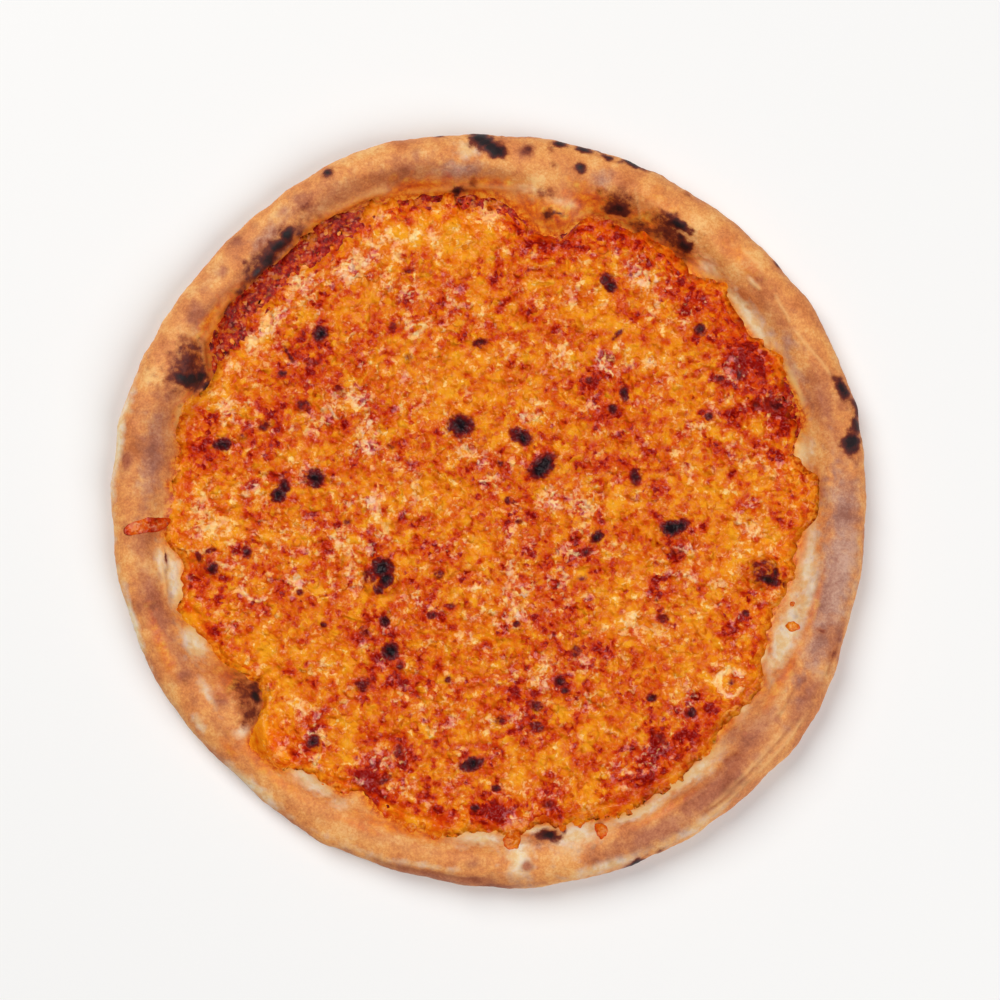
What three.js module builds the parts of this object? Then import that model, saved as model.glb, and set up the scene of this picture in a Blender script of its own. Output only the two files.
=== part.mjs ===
// Four cheese pizza: a hand-stretched round of dough with a puffed rim, a thin layer of
// tomato sauce, and one sheet of melted cheese with a streak and two drops on the rim.
//
// Millimetres, +Z up. The origin is the middle of the flat underside, which rests on Z = 0.
// Bearings are in degrees, anticlockwise from +X as seen from above.

import * as THREE from 'three';
import { mergeVertices } from 'three/addons/utils/BufferGeometryUtils.js';

// ---- Driving dimensions ----

const DIAMETER = 320;
const RIM_WIDTH = 25;            // from the outer edge in to the topping
const RIM_HEIGHT = 17.5;         // mean height of the rim's crown
const CROWN_INSET = 12.5;        // from the outer edge in to the crown
const BELLY_HEIGHT = 8.5;        // where the rim is widest
const FOOT_INSET = 11;           // from the outer edge in to where the dough leaves the floor
const WALL_TUCK = 5;             // how far the rim's inner wall runs in under the topping

const BASE_THICKNESS = 4;
const SAUCE_THICKNESS = 0.9;
const CHEESE_THICKNESS = 2.3;
const CHEESE_LIP = 1.2;          // height of the cheese's side where it meets the rim
const LAYER_GAP = 0.3;           // clearance between one layer and the next
const WALL_CLEARANCE = 0.7;      // measured level, from a layer's edge to the sloping wall

const SEGMENTS = 128;            // facets around
const BELLY_STEPS = 3;           // facets up the rim's outside, below its widest place
const SHOULDER_STEPS = 4;        // and from there over to the crown
const WALL_STEPS = 6;            // and down the inner wall
const MID_RADIUS = 75;           // one ring of facets across each flat disc

// ---- Unevenness, by hand: each entry swells a value near a bearing ----
// at: bearing; spread: one standard deviation, in degrees; by: millimetres.

const OUTLINE_SWELLS = [
  { at: 27, spread: 14, by: 2.8 },
  { at: 111, spread: 9, by: 3.2 },
  { at: 169, spread: 10, by: 1.7 },
  { at: 226, spread: 11, by: -3.8 },
  { at: 253, spread: 6, by: -1.8 },
  { at: 281, spread: 8, by: 1.4 },
  { at: 305, spread: 14, by: 3.4 },
  { at: 327, spread: 7, by: 3.4 },
];

const TOPPING_SWELLS = [
  { at: 2, spread: 4, by: 4 },
  { at: 25, spread: 14, by: 2.5 },
  { at: 52, spread: 7, by: 2.5 },
  { at: 78, spread: 4.5, by: -16 },    // the pale bubble pushes in here
  { at: 120, spread: 17, by: 5.5 },
  { at: 143, spread: 5, by: 2.5 },
  { at: 156, spread: 4, by: -6 },
  { at: 175, spread: 4, by: -5 },
  { at: 204, spread: 3, by: -3 },
  { at: 217, spread: 4.5, by: -12 },   // the brown bubble pushes in here
  { at: 228, spread: 3.5, by: 7 },
  { at: 246, spread: 4, by: -4 },
  { at: 260, spread: 5, by: 2 },
  { at: 300, spread: 8, by: 3.5 },
  { at: 318, spread: 4, by: -2.5 },
  { at: 342, spread: 8, by: -5.5 },
];

const CROWN_SWELLS = [
  { at: 20, spread: 18, by: -1.5 },
  { at: 60, spread: 12, by: 2 },
  { at: 97, spread: 9, by: 2 },
  { at: 128, spread: 12, by: -1.5 },
  { at: 157, spread: 9, by: 2.5 },
  { at: 190, spread: 12, by: -1 },
  { at: 217, spread: 8, by: 1.5 },
  { at: 255, spread: 14, by: -1.5 },
  { at: 302, spread: 16, by: 2 },
  { at: 345, spread: 10, by: 1 },
];

// Where the cheese stops short of the sauce, and by how much.
const BARE_SAUCE = [
  { at: 20, spread: 5, by: 1.5 },
  { at: 66, spread: 5, by: 2 },
  { at: 90, spread: 5, by: 4 },
  { at: 124, spread: 9, by: 7 },
  { at: 142, spread: 7, by: 4 },
];

// ---- Bubbles: flat-footed domes that rise from a surface ----
// at, out: bearing and radius of the middle; along, across: size around and outwards; high.

const DOUGH_BUBBLES = [
  { at: 78, out: 128, along: 27, across: 20, high: 4.5 },
  { at: 55, out: 142, along: 15, across: 12, high: 2.4 },
  { at: 66.5, out: 140, along: 13, across: 12, high: 2 },
  { at: 89.7, out: 154, along: 13, across: 10, high: 1.8 },
  { at: 156.5, out: 139, along: 25, across: 17, high: 3.6 },
  { at: 217, out: 131, along: 30, across: 19, high: 4 },
];

const CHEESE_BUBBLES = [
  { at: 346, out: 119, along: 21, across: 20, high: 3.4 },
  { at: 191.5, out: 123, along: 17, across: 14, high: 2.2 },
  { at: 324, out: 126, along: 13, across: 13, high: 1.2 },
];

// ---- Cheese that ran or dripped onto the rim ----
// turn: how far the long side is turned from pointing straight out, in degrees.

const RIM_CHEESE = [
  { name: 'cheese_streak', at: 183.3, out: 144.5, long: 20, wide: 6.5, thick: 1.1, turn: 14 },
  { name: 'cheese_drop_front', at: 274, out: 140.5, long: 8, wide: 8, thick: 1.3, turn: 0 },
  { name: 'cheese_drop_right', at: 289, out: 144, long: 6.5, wide: 5.5, thick: 1.1, turn: 0 },
];
const RIM_CHEESE_GAP = 0.5;      // clearance to the faceted rim below

// ---- Radii and heights that the solids share ----

const radians = (bearing) => THREE.MathUtils.degToRad(bearing);

function turnBetween(bearing, other) {
  return THREE.MathUtils.euclideanModulo(bearing - other + 180, 360) - 180;
}

function swell(entries, bearing) {
  let sum = 0;
  for (const { at, spread, by } of entries) {
    sum += by * Math.exp(-0.5 * (turnBetween(bearing, at) / spread) ** 2);
  }
  return sum;
}

function bubbleHeight(bubbles, bearing, radius) {
  let sum = 0;
  for (const { at, out, along, across, high } of bubbles) {
    const around = out * radians(turnBetween(bearing, at)) / (along / 2);
    const outward = (radius - out) / (across / 2);
    const reach = 1 - around ** 2 - outward ** 2;
    if (reach > 0) sum += high * reach ** 1.5;
  }
  return sum;
}

const wave = (bearing, count, shift) => Math.sin(radians(count * bearing + shift));

const outerRadius = (bearing) => DIAMETER / 2 + swell(OUTLINE_SWELLS, bearing);
const toppingRadius = (bearing) => DIAMETER / 2 - RIM_WIDTH + swell(TOPPING_SWELLS, bearing);
const wallFoot = (bearing) => toppingRadius(bearing) - WALL_TUCK;
const shoulderWidth = (bearing) => CROWN_INSET + wave(bearing, 5, 60) + 0.7 * wave(bearing, 9, 0);
const crownRadius = (bearing) => outerRadius(bearing) - shoulderWidth(bearing);

function crownHeight(bearing) {
  const ripple = 0.5 * wave(bearing, 7, 40) + 0.3 * wave(bearing, 13, 0);
  return RIM_HEIGHT + swell(CROWN_SWELLS, bearing) + ripple;
}

// Height of the dough's upper surface: flat base, S-shaped inner wall, rounded shoulder.
function doughHeight(bearing, radius) {
  const crown = crownRadius(bearing);
  const foot = wallFoot(bearing);
  const high = crownHeight(bearing);
  const bubbles = bubbleHeight(DOUGH_BUBBLES, bearing, radius);
  if (radius <= foot) return BASE_THICKNESS;
  if (radius <= crown) {
    const climb = Math.sin(Math.PI / 2 * (radius - foot) / (crown - foot)) ** 2;
    return BASE_THICKNESS + (high - BASE_THICKNESS) * climb + bubbles;
  }
  const past = Math.min((radius - crown) / shoulderWidth(bearing), 1);
  return BELLY_HEIGHT + (high - BELLY_HEIGHT) * Math.sqrt(1 - past ** 2) + bubbles;
}

// The inner wall's section, from its foot under the topping up to the crown.
function wallPoints(bearing) {
  const foot = wallFoot(bearing);
  const crown = crownRadius(bearing);
  return Array.from({ length: WALL_STEPS + 1 }, (_, step) => {
    const radius = foot + (crown - foot) * step / WALL_STEPS;
    return [radius, doughHeight(bearing, radius)];
  });
}

// Largest radius at a height that keeps clear of the inner wall.
function radiusInsideWall(bearing, height) {
  const points = wallPoints(bearing);
  const next = points.findIndex((point) => point[1] > height);
  const [lowRadius, lowHeight] = points[next - 1];
  const [highRadius, highHeight] = points[next];
  const share = (height - lowHeight) / (highHeight - lowHeight);
  return lowRadius + (highRadius - lowRadius) * share - WALL_CLEARANCE;
}

// ---- Making closed solids ----

function closedSolid(geometry) {
  geometry.deleteAttribute('normal');
  geometry.deleteAttribute('uv');
  return mergeVertices(geometry, 1e-4);
}

// A turned body whose section changes with the bearing. sectionAt(bearing) returns the
// section's [radius, height] points from the axis below, outwards, and back to the axis above.
function unevenLathe(sectionAt) {
  const count = sectionAt(0).length;
  const section = Array.from({ length: count }, (_, ring) => new THREE.Vector2(1, ring));
  const geometry = new THREE.LatheGeometry(section, SEGMENTS);
  const { position } = geometry.attributes;
  for (let segment = 0; segment <= SEGMENTS; segment += 1) {
    const bearing = (segment % SEGMENTS) * 360 / SEGMENTS;
    const points = sectionAt(bearing);
    for (let ring = 0; ring < count; ring += 1) {
      const [radius, height] = points[ring];
      const x = radius * Math.cos(radians(bearing));
      const y = radius * Math.sin(radians(bearing));
      position.setXYZ(segment * count + ring, x, y, height);
    }
  }
  return closedSolid(geometry);
}

// ---- Crust: base and rim are one piece of dough ----

function crustSection(bearing) {
  const outer = outerRadius(bearing);
  const crown = crownRadius(bearing);
  const footInset = FOOT_INSET + 1.5 * wave(bearing, 6, 20) + wave(bearing, 11, 80);
  const points = [[0, 0], [MID_RADIUS, 0]];
  for (let step = 0; step <= BELLY_STEPS; step += 1) {
    const angle = Math.PI / 2 * step / BELLY_STEPS;
    const radius = outer - footInset * (1 - Math.sin(angle));
    points.push([radius, BELLY_HEIGHT * (1 - Math.cos(angle))]);
  }
  for (let step = 1; step < SHOULDER_STEPS; step += 1) {
    const angle = Math.PI / 2 * (1 - step / SHOULDER_STEPS);
    const radius = crown + shoulderWidth(bearing) * Math.sin(angle);
    points.push([radius, doughHeight(bearing, radius)]);
  }
  points.push(...wallPoints(bearing).reverse());
  points.push([MID_RADIUS, BASE_THICKNESS], [0, BASE_THICKNESS]);
  return points;
}

// ---- Tomato sauce: a thin disc on the base, out to the foot of the rim ----

const SAUCE_BOTTOM = BASE_THICKNESS + LAYER_GAP;
const SAUCE_TOP = SAUCE_BOTTOM + SAUCE_THICKNESS;

function sauceSection(bearing) {
  const edge = radiusInsideWall(bearing, SAUCE_BOTTOM);
  const lip = radiusInsideWall(bearing, SAUCE_TOP);
  return [
    [0, SAUCE_BOTTOM],
    [MID_RADIUS, SAUCE_BOTTOM],
    [edge, SAUCE_BOTTOM],
    [lip, SAUCE_TOP],
    [MID_RADIUS, SAUCE_TOP],
    [0, SAUCE_TOP],
  ];
}

// ---- Cheese: one melted sheet with lumps and bubbles ----

const CHEESE_BOTTOM = SAUCE_TOP + LAYER_GAP;
const CHEESE_TOP = CHEESE_BOTTOM + CHEESE_THICKNESS;
const CHEESE_SHOULDER = 2.5;     // width of the rounding at the sheet's edge
const CHEESE_RINGS = [0.95, 0.9, 0.84, 0.75, 0.62, 0.47, 0.31, 0.15];

function cheeseHeight(bearing, radius) {
  const x = radius * Math.cos(radians(bearing));
  const y = radius * Math.sin(radians(bearing));
  const lumps = 0.35 * Math.sin(x / 7 + 1) * Math.sin(y / 9) + 0.3 * Math.sin((x - y) / 12);
  return CHEESE_TOP + lumps + bubbleHeight(CHEESE_BUBBLES, bearing, radius);
}

function cheeseSection(bearing) {
  const bare = swell(BARE_SAUCE, bearing);
  const edge = radiusInsideWall(bearing, CHEESE_BOTTOM) - bare;
  const lip = radiusInsideWall(bearing, CHEESE_BOTTOM + CHEESE_LIP) - bare;
  const shoulder = lip - CHEESE_SHOULDER;
  const points = [
    [0, CHEESE_BOTTOM],
    [MID_RADIUS, CHEESE_BOTTOM],
    [edge, CHEESE_BOTTOM],
    [lip, CHEESE_BOTTOM + CHEESE_LIP],
    [shoulder, cheeseHeight(bearing, shoulder)],
  ];
  for (const share of CHEESE_RINGS) {
    const radius = shoulder * share;
    points.push([radius, cheeseHeight(bearing, radius)]);
  }
  points.push([0, cheeseHeight(0, 0)]);
  return points;
}

// ---- Streak and drops: rounded pads that follow the rim under them ----

function rimCheese({ at, out, long, wide, thick, turn }) {
  const geometry = closedSolid(new THREE.SphereGeometry(1, 12, 8));
  geometry.rotateX(Math.PI / 2);
  const { position } = geometry.attributes;
  const aim = radians(turn);
  for (let index = 0; index < position.count; index += 1) {
    const along = position.getX(index) * long / 2;
    const across = position.getY(index) * wide / 2;
    const outward = along * Math.cos(aim) - across * Math.sin(aim);
    const around = along * Math.sin(aim) + across * Math.cos(aim);
    const radius = out + outward;
    const bearing = at + THREE.MathUtils.radToDeg(around / out);
    const rise = thick * (1 + position.getZ(index)) / 2;
    const x = radius * Math.cos(radians(bearing));
    const y = radius * Math.sin(radians(bearing));
    position.setXYZ(index, x, y, doughHeight(bearing, radius) + RIM_CHEESE_GAP + rise);
  }
  return geometry;
}

// ---- Assembly ----

const bakedDough = new THREE.MeshStandardMaterial({ color: 0xe0a163, roughness: 0.7, metalness: 0 });
const cookedTomato = new THREE.MeshStandardMaterial({ color: 0x9e1f12, roughness: 0.35, metalness: 0 });
const meltedCheese = new THREE.MeshStandardMaterial({ color: 0xe8821e, roughness: 0.35, metalness: 0 });

const pizza = new THREE.Group();

function addPiece(name, geometry, material) {
  const mesh = new THREE.Mesh(geometry, material);
  mesh.name = name;
  pizza.add(mesh);
  return mesh;
}

const crust = addPiece('crust', unevenLathe(crustSection), bakedDough);
addPiece('tomato_sauce', unevenLathe(sauceSection), cookedTomato);
addPiece('cheese', unevenLathe(cheeseSection), meltedCheese);
for (const pad of RIM_CHEESE) addPiece(pad.name, rimCheese(pad), meltedCheese);

// The uneven outline is centred on the origin by its overall width and depth.
const middle = new THREE.Box3().setFromObject(crust).getCenter(new THREE.Vector3());
pizza.position.set(-middle.x, -middle.y, 0);

export default pizza;
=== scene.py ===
import math

import bpy
import numpy as np
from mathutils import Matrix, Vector
from mathutils.bvhtree import BVHTree


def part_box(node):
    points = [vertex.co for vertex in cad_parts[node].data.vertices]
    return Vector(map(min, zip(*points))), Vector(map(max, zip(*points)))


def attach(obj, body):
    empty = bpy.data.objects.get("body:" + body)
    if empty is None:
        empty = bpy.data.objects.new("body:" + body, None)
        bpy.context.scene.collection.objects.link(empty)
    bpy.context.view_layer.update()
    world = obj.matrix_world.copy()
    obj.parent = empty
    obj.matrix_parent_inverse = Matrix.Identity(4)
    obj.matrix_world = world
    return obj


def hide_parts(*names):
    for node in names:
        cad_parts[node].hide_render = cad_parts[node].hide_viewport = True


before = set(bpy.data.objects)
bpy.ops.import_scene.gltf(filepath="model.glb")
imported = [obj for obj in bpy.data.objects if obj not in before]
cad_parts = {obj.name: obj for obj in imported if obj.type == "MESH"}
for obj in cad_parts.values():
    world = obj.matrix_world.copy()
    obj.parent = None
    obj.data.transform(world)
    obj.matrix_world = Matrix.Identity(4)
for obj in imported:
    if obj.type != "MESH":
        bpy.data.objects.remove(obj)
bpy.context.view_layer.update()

# ------------------------------------------------------------------------ Dough crust
# One piece of wheat dough, pressed out by hand from the middle so that the gas stays in
# the rim. The oven puffs the rim, browns its crown and blackens its thinnest blisters.
# Bearings are degrees anticlockwise from +X; sizes are millimetres until a mesh is made.

MM = 0.001
SURVEY_TURNS = 512               # bearings at which the plain solids are measured
COLUMNS = 1150                   # mesh columns around, 0.8 mm apart on the rim
OUTSIDE_ROWS = 27                # from the underside round the outside to the crown
WALL_ROWS = 32                   # from the crown down to under the topping
BELLY = 8.5                      # height of the rim's widest place
CORE_INSET = 12.5                # from the outer edge in to the middle of the rim
TUCK = 6.0                       # how far the rim's inner wall is followed under the topping
ROUNDING = 1.1                   # degrees over which the plain solid's corners are rounded off
STAIN_REACH = 3.0                # how far oil crept out from the topping

bearings = np.linspace(0, 360, SURVEY_TURNS, endpoint=False)
columns = np.linspace(0, 360, COLUMNS, endpoint=False)
survey_radii = np.arange(100.0, 163.0, 0.5)       # from under the topping to past the rim


def node_surface(name):
    """A plain solid's surface, for measuring the piece that stands in for it."""
    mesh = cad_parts[name].data
    corners = [vertex.co for vertex in mesh.vertices]
    return BVHTree.FromPolygons(corners, [face.vertices for face in mesh.polygons])


def top_heights(surface, x, y):
    """Height of a surface's top, in mm, at each place given in mm; 0 where there is none."""
    down = Vector((0, 0, -1))
    heights = np.zeros(x.shape)
    for place in np.ndindex(x.shape):
        hit = surface.ray_cast(Vector((x[place] * MM, y[place] * MM, 0.1)), down)[0]
        heights[place] = hit.z / MM if hit else 0
    return heights


def polar(bearing, radius):
    return radius * np.cos(np.radians(bearing)), radius * np.sin(np.radians(bearing))


def smooth_around(table, degrees):
    """Rounds off a table over bearings (last axis), which closes on itself."""
    turns = np.fft.rfftfreq(table.shape[-1], 1 / table.shape[-1])
    keep = np.exp(-0.5 * (turns * math.radians(degrees)) ** 2)
    return np.fft.irfft(np.fft.rfft(table) * keep, table.shape[-1])


def to_columns(table):
    return np.array([np.interp(columns, bearings, row, period=360) for row in table])


def soften(table):
    """Rounds off a table a little down its columns, in place, with its ends kept."""
    table[1:-1] = (table[:-2] + 2 * table[1:-1] + table[2:]) / 4


def smoothstep(low, high, value):
    share = np.clip((value - low) / (high - low), 0, 1)
    return share * share * (3 - 2 * share)


def mottle(shape, cell, finest, coarsest, seed):
    """A random field, as strong at every size between two wavelengths. Mean 0, spread 1."""
    grain = np.random.default_rng(seed).standard_normal(shape)
    across = np.fft.fftfreq(shape[0], cell[0])[:, None]
    along = np.fft.rfftfreq(shape[1], cell[1])[None, :]
    frequency = np.hypot(across, along)
    band = (frequency > 1 / coarsest) & (frequency < 1 / finest)
    keep = np.where(band, 1 / np.maximum(frequency, 1e-6), 0)
    field = np.fft.irfft2(np.fft.rfft2(grain) * keep, shape)
    return (field - field.mean()) / field.std()


crust_surface = node_surface("crust")
cheese_surface = node_surface("cheese")
survey_x, survey_y = polar(bearings[:, None], survey_radii[None, :])
crust_tops = top_heights(crust_surface, survey_x, survey_y)
cheese_found = top_heights(cheese_surface, survey_x, survey_y) > 0
cheese_edge = (survey_radii * cheese_found).max(1)


def reach(bearing, radius, height, slope):
    """Radius and height where a line in the rim's section leaves the crust."""
    x, y = polar(bearing, 1.0)
    start = Vector((x * radius, y * radius, height)) * MM
    aim = Vector((x * math.cos(slope), y * math.cos(slope), math.sin(slope)))
    hit = crust_surface.ray_cast(start, aim)[0] / MM
    return math.hypot(hit.x, hit.y), hit.z


outline = np.array([reach(bearing, 200, BELLY, math.pi)[0] for bearing in bearings])
core = outline - CORE_INSET
slopes = np.linspace(-math.pi / 2, math.pi / 2, OUTSIDE_ROWS)
section = [[reach(bearing, middle, BELLY, slope) for bearing, middle in zip(bearings, core)]
           for slope in slopes]
for share in np.linspace(0, 1, WALL_ROWS + 1)[1:]:
    radius = core + (cheese_edge - TUCK - core) * share
    height = [np.interp(r, survey_radii, tops) for r, tops in zip(radius, crust_tops)]
    section.append(list(zip(radius, height)))
section = np.array(section)      # rows, bearings, (radius, height)

rim_radius = to_columns(smooth_around(section[:, :, 0], ROUNDING))
rim_height = to_columns(smooth_around(section[:, :, 1], ROUNDING))
rim_outline = to_columns(smooth_around(outline[None], ROUNDING))
for table in [rim_radius, rim_height] * 3:
    soften(table)
rows = len(rim_radius)

# Places on the rim are given as they look from a metre straight above. Below the rim's
# widest place they go on down the side.
skin_radius = rim_radius * (1 + (rim_height - BELLY) * MM)
skin_radius = np.where(np.arange(rows)[:, None] < OUTSIDE_ROWS // 2,
                       rim_outline + BELLY - rim_height, skin_radius)
rim_cell = (0.95, 0.82)          # mesh spacing down the section and around
rim_shape = (rows, COLUMNS)
ragged = mottle(rim_shape, rim_cell, 3.0, 14, 11)


def oval(bearing, out, along, across):
    """1 in the middle of an oval patch of the rim's skin, 0.5 on its border, fading to 0."""
    around = (columns - bearing + 180) % 360 - 180
    around = np.radians(around)[None, :] * out
    distance = np.hypot(2 * around / along, 2 * (skin_radius - out) / across)
    return 0.5 ** ((distance * (1 + 0.16 * ragged)) ** 2)


# Blisters that the oven blackened: bearing, radius, size around, size outwards, darkness.
# Below 0.6 they are only scorched brown.
BLACK_BLISTERS = [
    (9.8, 156.6, 8, 5.5, 1.0), (10.2, 153.6, 5, 5, 0.6), (12.4, 160, 8, 3, 0.8),
    (15, 161.6, 7, 1.6, 0.7), (18.4, 158.8, 9, 4.5, 0.85), (20, 157.6, 5, 3, 0.5),
    (40, 161.6, 3.5, 1.6, 0.7), (57.5, 159, 6, 1.6, 0.35), (55.9, 145.6, 9, 3.6, 0.95),
    (58, 146.5, 6, 3, 0.6), (53.2, 140.4, 7, 4.5, 0.9), (53, 137.4, 11, 7, 0.42),
    (54.6, 142.2, 5, 3, 0.7), (57, 141, 20, 12, 0.46), (61, 137, 14, 7, 0.42),
    (52.5, 134, 8, 6, 0.35), (66.3, 139.8, 7, 5, 0.82), (66.8, 142.5, 16, 12, 0.42),
    (67.6, 137.8, 8, 3, 0.6), (67.6, 146, 6, 6, 0.35), (67, 159.4, 9, 1.7, 0.9),
    (71, 158.3, 4.5, 2, 0.8), (75, 158.9, 7, 2.1, 0.9), (78.9, 158.7, 6, 2.4, 0.9),
    (80, 156, 3, 3, 0.4), (97.5, 160.9, 4, 1.5, 0.6), (84.5, 160.4, 7, 1.1, 0.4),
    (74.8, 150.8, 4.8, 4, 0.85), (83.8, 153.8, 4.8, 3.8, 0.5), (79.2, 148.8, 3.6, 3, 0.34),
    (91.2, 158.6, 7, 5.5, 1.0), (90.5, 156.8, 7, 5, 1.0), (89.7, 154.9, 7, 5, 1.0),
    (88.9, 153.2, 6.5, 5, 1.0), (88.3, 151.4, 5, 3.6, 0.6), (92.6, 158, 4, 5, 0.5),
    (95.8, 137.4, 4.6, 3, 0.85), (95, 137.2, 10, 4, 0.4), (93, 139.5, 5, 3, 0.4),
    (78.6, 128, 5, 4, 0.5), (76.6, 129.6, 6, 1.6, 0.45), (79.5, 137, 8, 5, 0.4),
    (115.6, 158.7, 4.3, 3.5, 0.8), (126.4, 145.4, 7, 5, 0.85), (128.8, 144, 11, 5, 0.85),
    (131.6, 142.6, 11, 5, 0.85), (134.6, 141.8, 9, 4.6, 0.7), (130.5, 143.6, 30, 8, 0.56),
    (139, 141.2, 6, 2.8, 0.5), (126.8, 148.8, 4.5, 3.5, 0.42), (121.4, 151, 9, 6, 0.36),
    (142, 140.6, 10, 2.6, 0.4), (157.4, 140, 5, 13, 0.9), (156.7, 138, 5.5, 5.5, 1.0),
    (155.6, 134.8, 8, 5, 0.85), (155, 141.5, 20, 17, 0.52), (151.6, 143, 5, 8, 0.5),
    (156.6, 131.4, 5, 3.4, 0.8), (153.2, 146.5, 8, 6, 0.42), (158, 146, 5, 5, 0.5),
    (219.3, 127.4, 5, 4, 0.95), (217.8, 125, 7, 4, 0.6), (221.3, 132.8, 7, 8, 0.5),
    (217.5, 128.6, 18, 13, 0.42), (221.6, 137.4, 5, 6, 0.36), (280.4, 141.3, 7.6, 3.6, 1.0),
    (281.2, 142.6, 6, 3, 0.7), (280, 140.8, 12, 5.5, 0.46), (292.5, 162.4, 8, 1.7, 0.95),
    (296.4, 162, 4, 1.6, 0.4), (314.4, 150, 8, 6.5, 0.3), (337, 158.9, 9, 1.4, 0.42),
    (188.6, 138.7, 6, 1.0, 0.5), (289.3, 142, 3, 3, 0.4), (339.4, 150.4, 1.6, 5, 0.4),
    (173.1, 154.8, 6, 3.4, 0.36),
]

# Small brown spots on the rim, in the same order of values.
BROWN_SPOTS = [
    (28.6, 146.4, 8, 6, 0.7), (40.3, 151.6, 6, 4, 1.0), (38, 147, 20, 4, 0.4),
    (35.5, 146.5, 8, 6, 0.5), (84, 153.8, 6, 4.6, 0.9), (101.7, 153, 4, 8, 0.8),
    (101, 142.5, 9, 7, 0.9), (105, 147, 5, 4, 0.5), (121, 151.4, 11, 9, 0.7),
    (124.8, 154.8, 5, 4, 0.9), (127.6, 153.4, 4, 3, 0.7), (133.4, 156.8, 6, 4, 0.9),
    (131.8, 148.5, 3.4, 4, 0.7), (138.7, 151.7, 4, 4, 0.9), (129.6, 156.4, 4, 3, 0.5),
    (146.8, 148, 12, 8, 1.0), (169.1, 149.8, 3.6, 3.4, 0.8), (173, 154.9, 8, 4.4, 1.0),
    (161.6, 148.4, 5, 4, 0.6), (209, 147.6, 6, 8.5, 0.9), (196.2, 154.2, 6, 4, 0.8),
    (213.5, 149.4, 5, 3, 0.5), (220, 147.5, 12, 6, 0.4), (216, 139.5, 9, 6, 1.0),
    (276.1, 152.8, 4.4, 4, 1.0), (286.6, 155.6, 6, 4, 0.5), (267.7, 150.8, 6, 3.4, 0.7),
    (317, 141, 10, 6, 0.8), (314, 150.4, 10, 9, 1.0), (331, 152, 5, 4, 0.9),
    (323.5, 151.6, 5, 5, 0.9), (333, 154.4, 9, 7, 0.6), (328.6, 158.4, 5, 6, 0.7),
    (299, 154.8, 7, 4, 0.9), (2.4, 142.5, 7, 5, 1.0), (4.6, 144, 3, 3, 0.8), (16.5, 156, 8, 6, 0.6),
    (16, 150, 14, 6, 0.7), (20, 139.6, 6, 1.6, 0.9),
]

# Wide brown patches where the crown faced the fire.
BROWN_PATCHES = [
    (33, 147, 22, 8, 0.5), (18, 149, 26, 10, 0.7), (10, 150, 22, 9, 0.5), (104, 148, 26, 10, 0.7),
    (117, 149, 26, 10, 0.6), (128, 150, 22, 9, 0.5), (92, 144, 34, 5, 0.4),
    (170, 144.5, 44, 12, 0.75), (164, 146, 16, 8, 0.6), (186, 148, 20, 10, 0.6),
    (197, 147.5, 34, 9, 1.0), (206, 145.5, 18, 7, 0.6), (262, 157.8, 58, 4, 0.95),
    (272, 160.2, 22, 3, 0.8), (297, 154.5, 40, 7.5, 1.0), (308, 153.5, 44, 9, 1.0),
    (320, 148, 26, 12, 0.8), (329, 156.5, 30, 8, 0.8), (338, 157.5, 30, 6, 0.6),
    (354, 155.5, 28, 5, 0.6), (140, 155, 26, 5, 0.3), (252, 147, 40, 6, 0.3),
    (146, 146, 22, 7, 0.5), (214, 132, 16, 15, 0.7), (219, 128, 14, 13, 0.6),
    (237, 150, 50, 4, 0.2), (318, 143, 14, 8, 0.5),
]

# Skin scorched mauve and grey, with flour left on it.
GREY_PATCHES = [
    (348, 150.5, 56, 12, 1.0), (337, 151.5, 18, 9, 0.8), (359, 151, 30, 11, 0.9),
    (1.5, 153, 14, 8, 0.6), (95, 145, 18, 6, 0.8), (70.8, 148, 8, 8, 0.7), (71.5, 143, 6, 5, 0.5),
    (24, 143, 22, 4, 0.5), (172, 145, 30, 8, 0.45), (130, 149.4, 14, 5, 0.6),
    (29, 146.6, 6, 4, 0.6), (123, 153, 10, 5, 0.35),
]

# Pale dough that the topping shaded or that rose late.
PALE_PATCHES = [
    (10, 135.5, 12, 8, 0.9), (48, 138.6, 14, 6, 0.9), (36, 138, 34, 5, 0.9),
    (22, 141, 22, 2.8, 0.8), (33, 141, 30, 4, 0.5), (76, 134.8, 12, 3.6, 0.55),
    (83.5, 137.6, 12, 4, 0.5), (93.5, 153.4, 10, 7, 0.7), (40.2, 148.4, 6, 2, 0.7),
    (163, 138, 10, 2.4, 0.8), (204.5, 137, 14, 9, 1.0), (204, 132.5, 9, 4, 0.7),
    (194, 136.5, 26, 8, 0.9), (190, 141, 16, 3.4, 0.8), (237, 138, 20, 6, 1.0),
    (243.5, 140, 8, 6, 0.6), (222.6, 141, 5, 6, 0.7), (214, 142.5, 12, 4, 0.7),
    (267.5, 139.6, 24, 6, 1.0), (275, 149, 10, 18, 0.85), (278.5, 137.6, 14, 3.4, 0.95),
    (285, 143.5, 20, 9, 0.85), (283.5, 149, 14, 10, 0.5), (296, 143.6, 26, 4.6, 1.0),
    (306, 141.8, 34, 5, 1.0), (309, 145, 26, 4, 0.5), (321, 137, 10, 5, 0.8),
    (337, 137.5, 34, 8, 1.0), (331.5, 131.5, 10, 4, 0.9), (351, 137.5, 34, 6, 0.9),
    (344, 141, 34, 5, 0.8), (198.5, 158.6, 26, 3.4, 1.0), (230, 154.6, 30, 4, 0.7),
    (217, 152.4, 8, 3.4, 0.7), (170, 160.4, 44, 4, 0.9), (289, 159.4, 30, 4, 0.7),
    (303, 160.8, 34, 3.6, 0.6), (250, 154.6, 40, 3, 0.4), (260, 153.8, 30, 2.4, 0.5),
]

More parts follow.
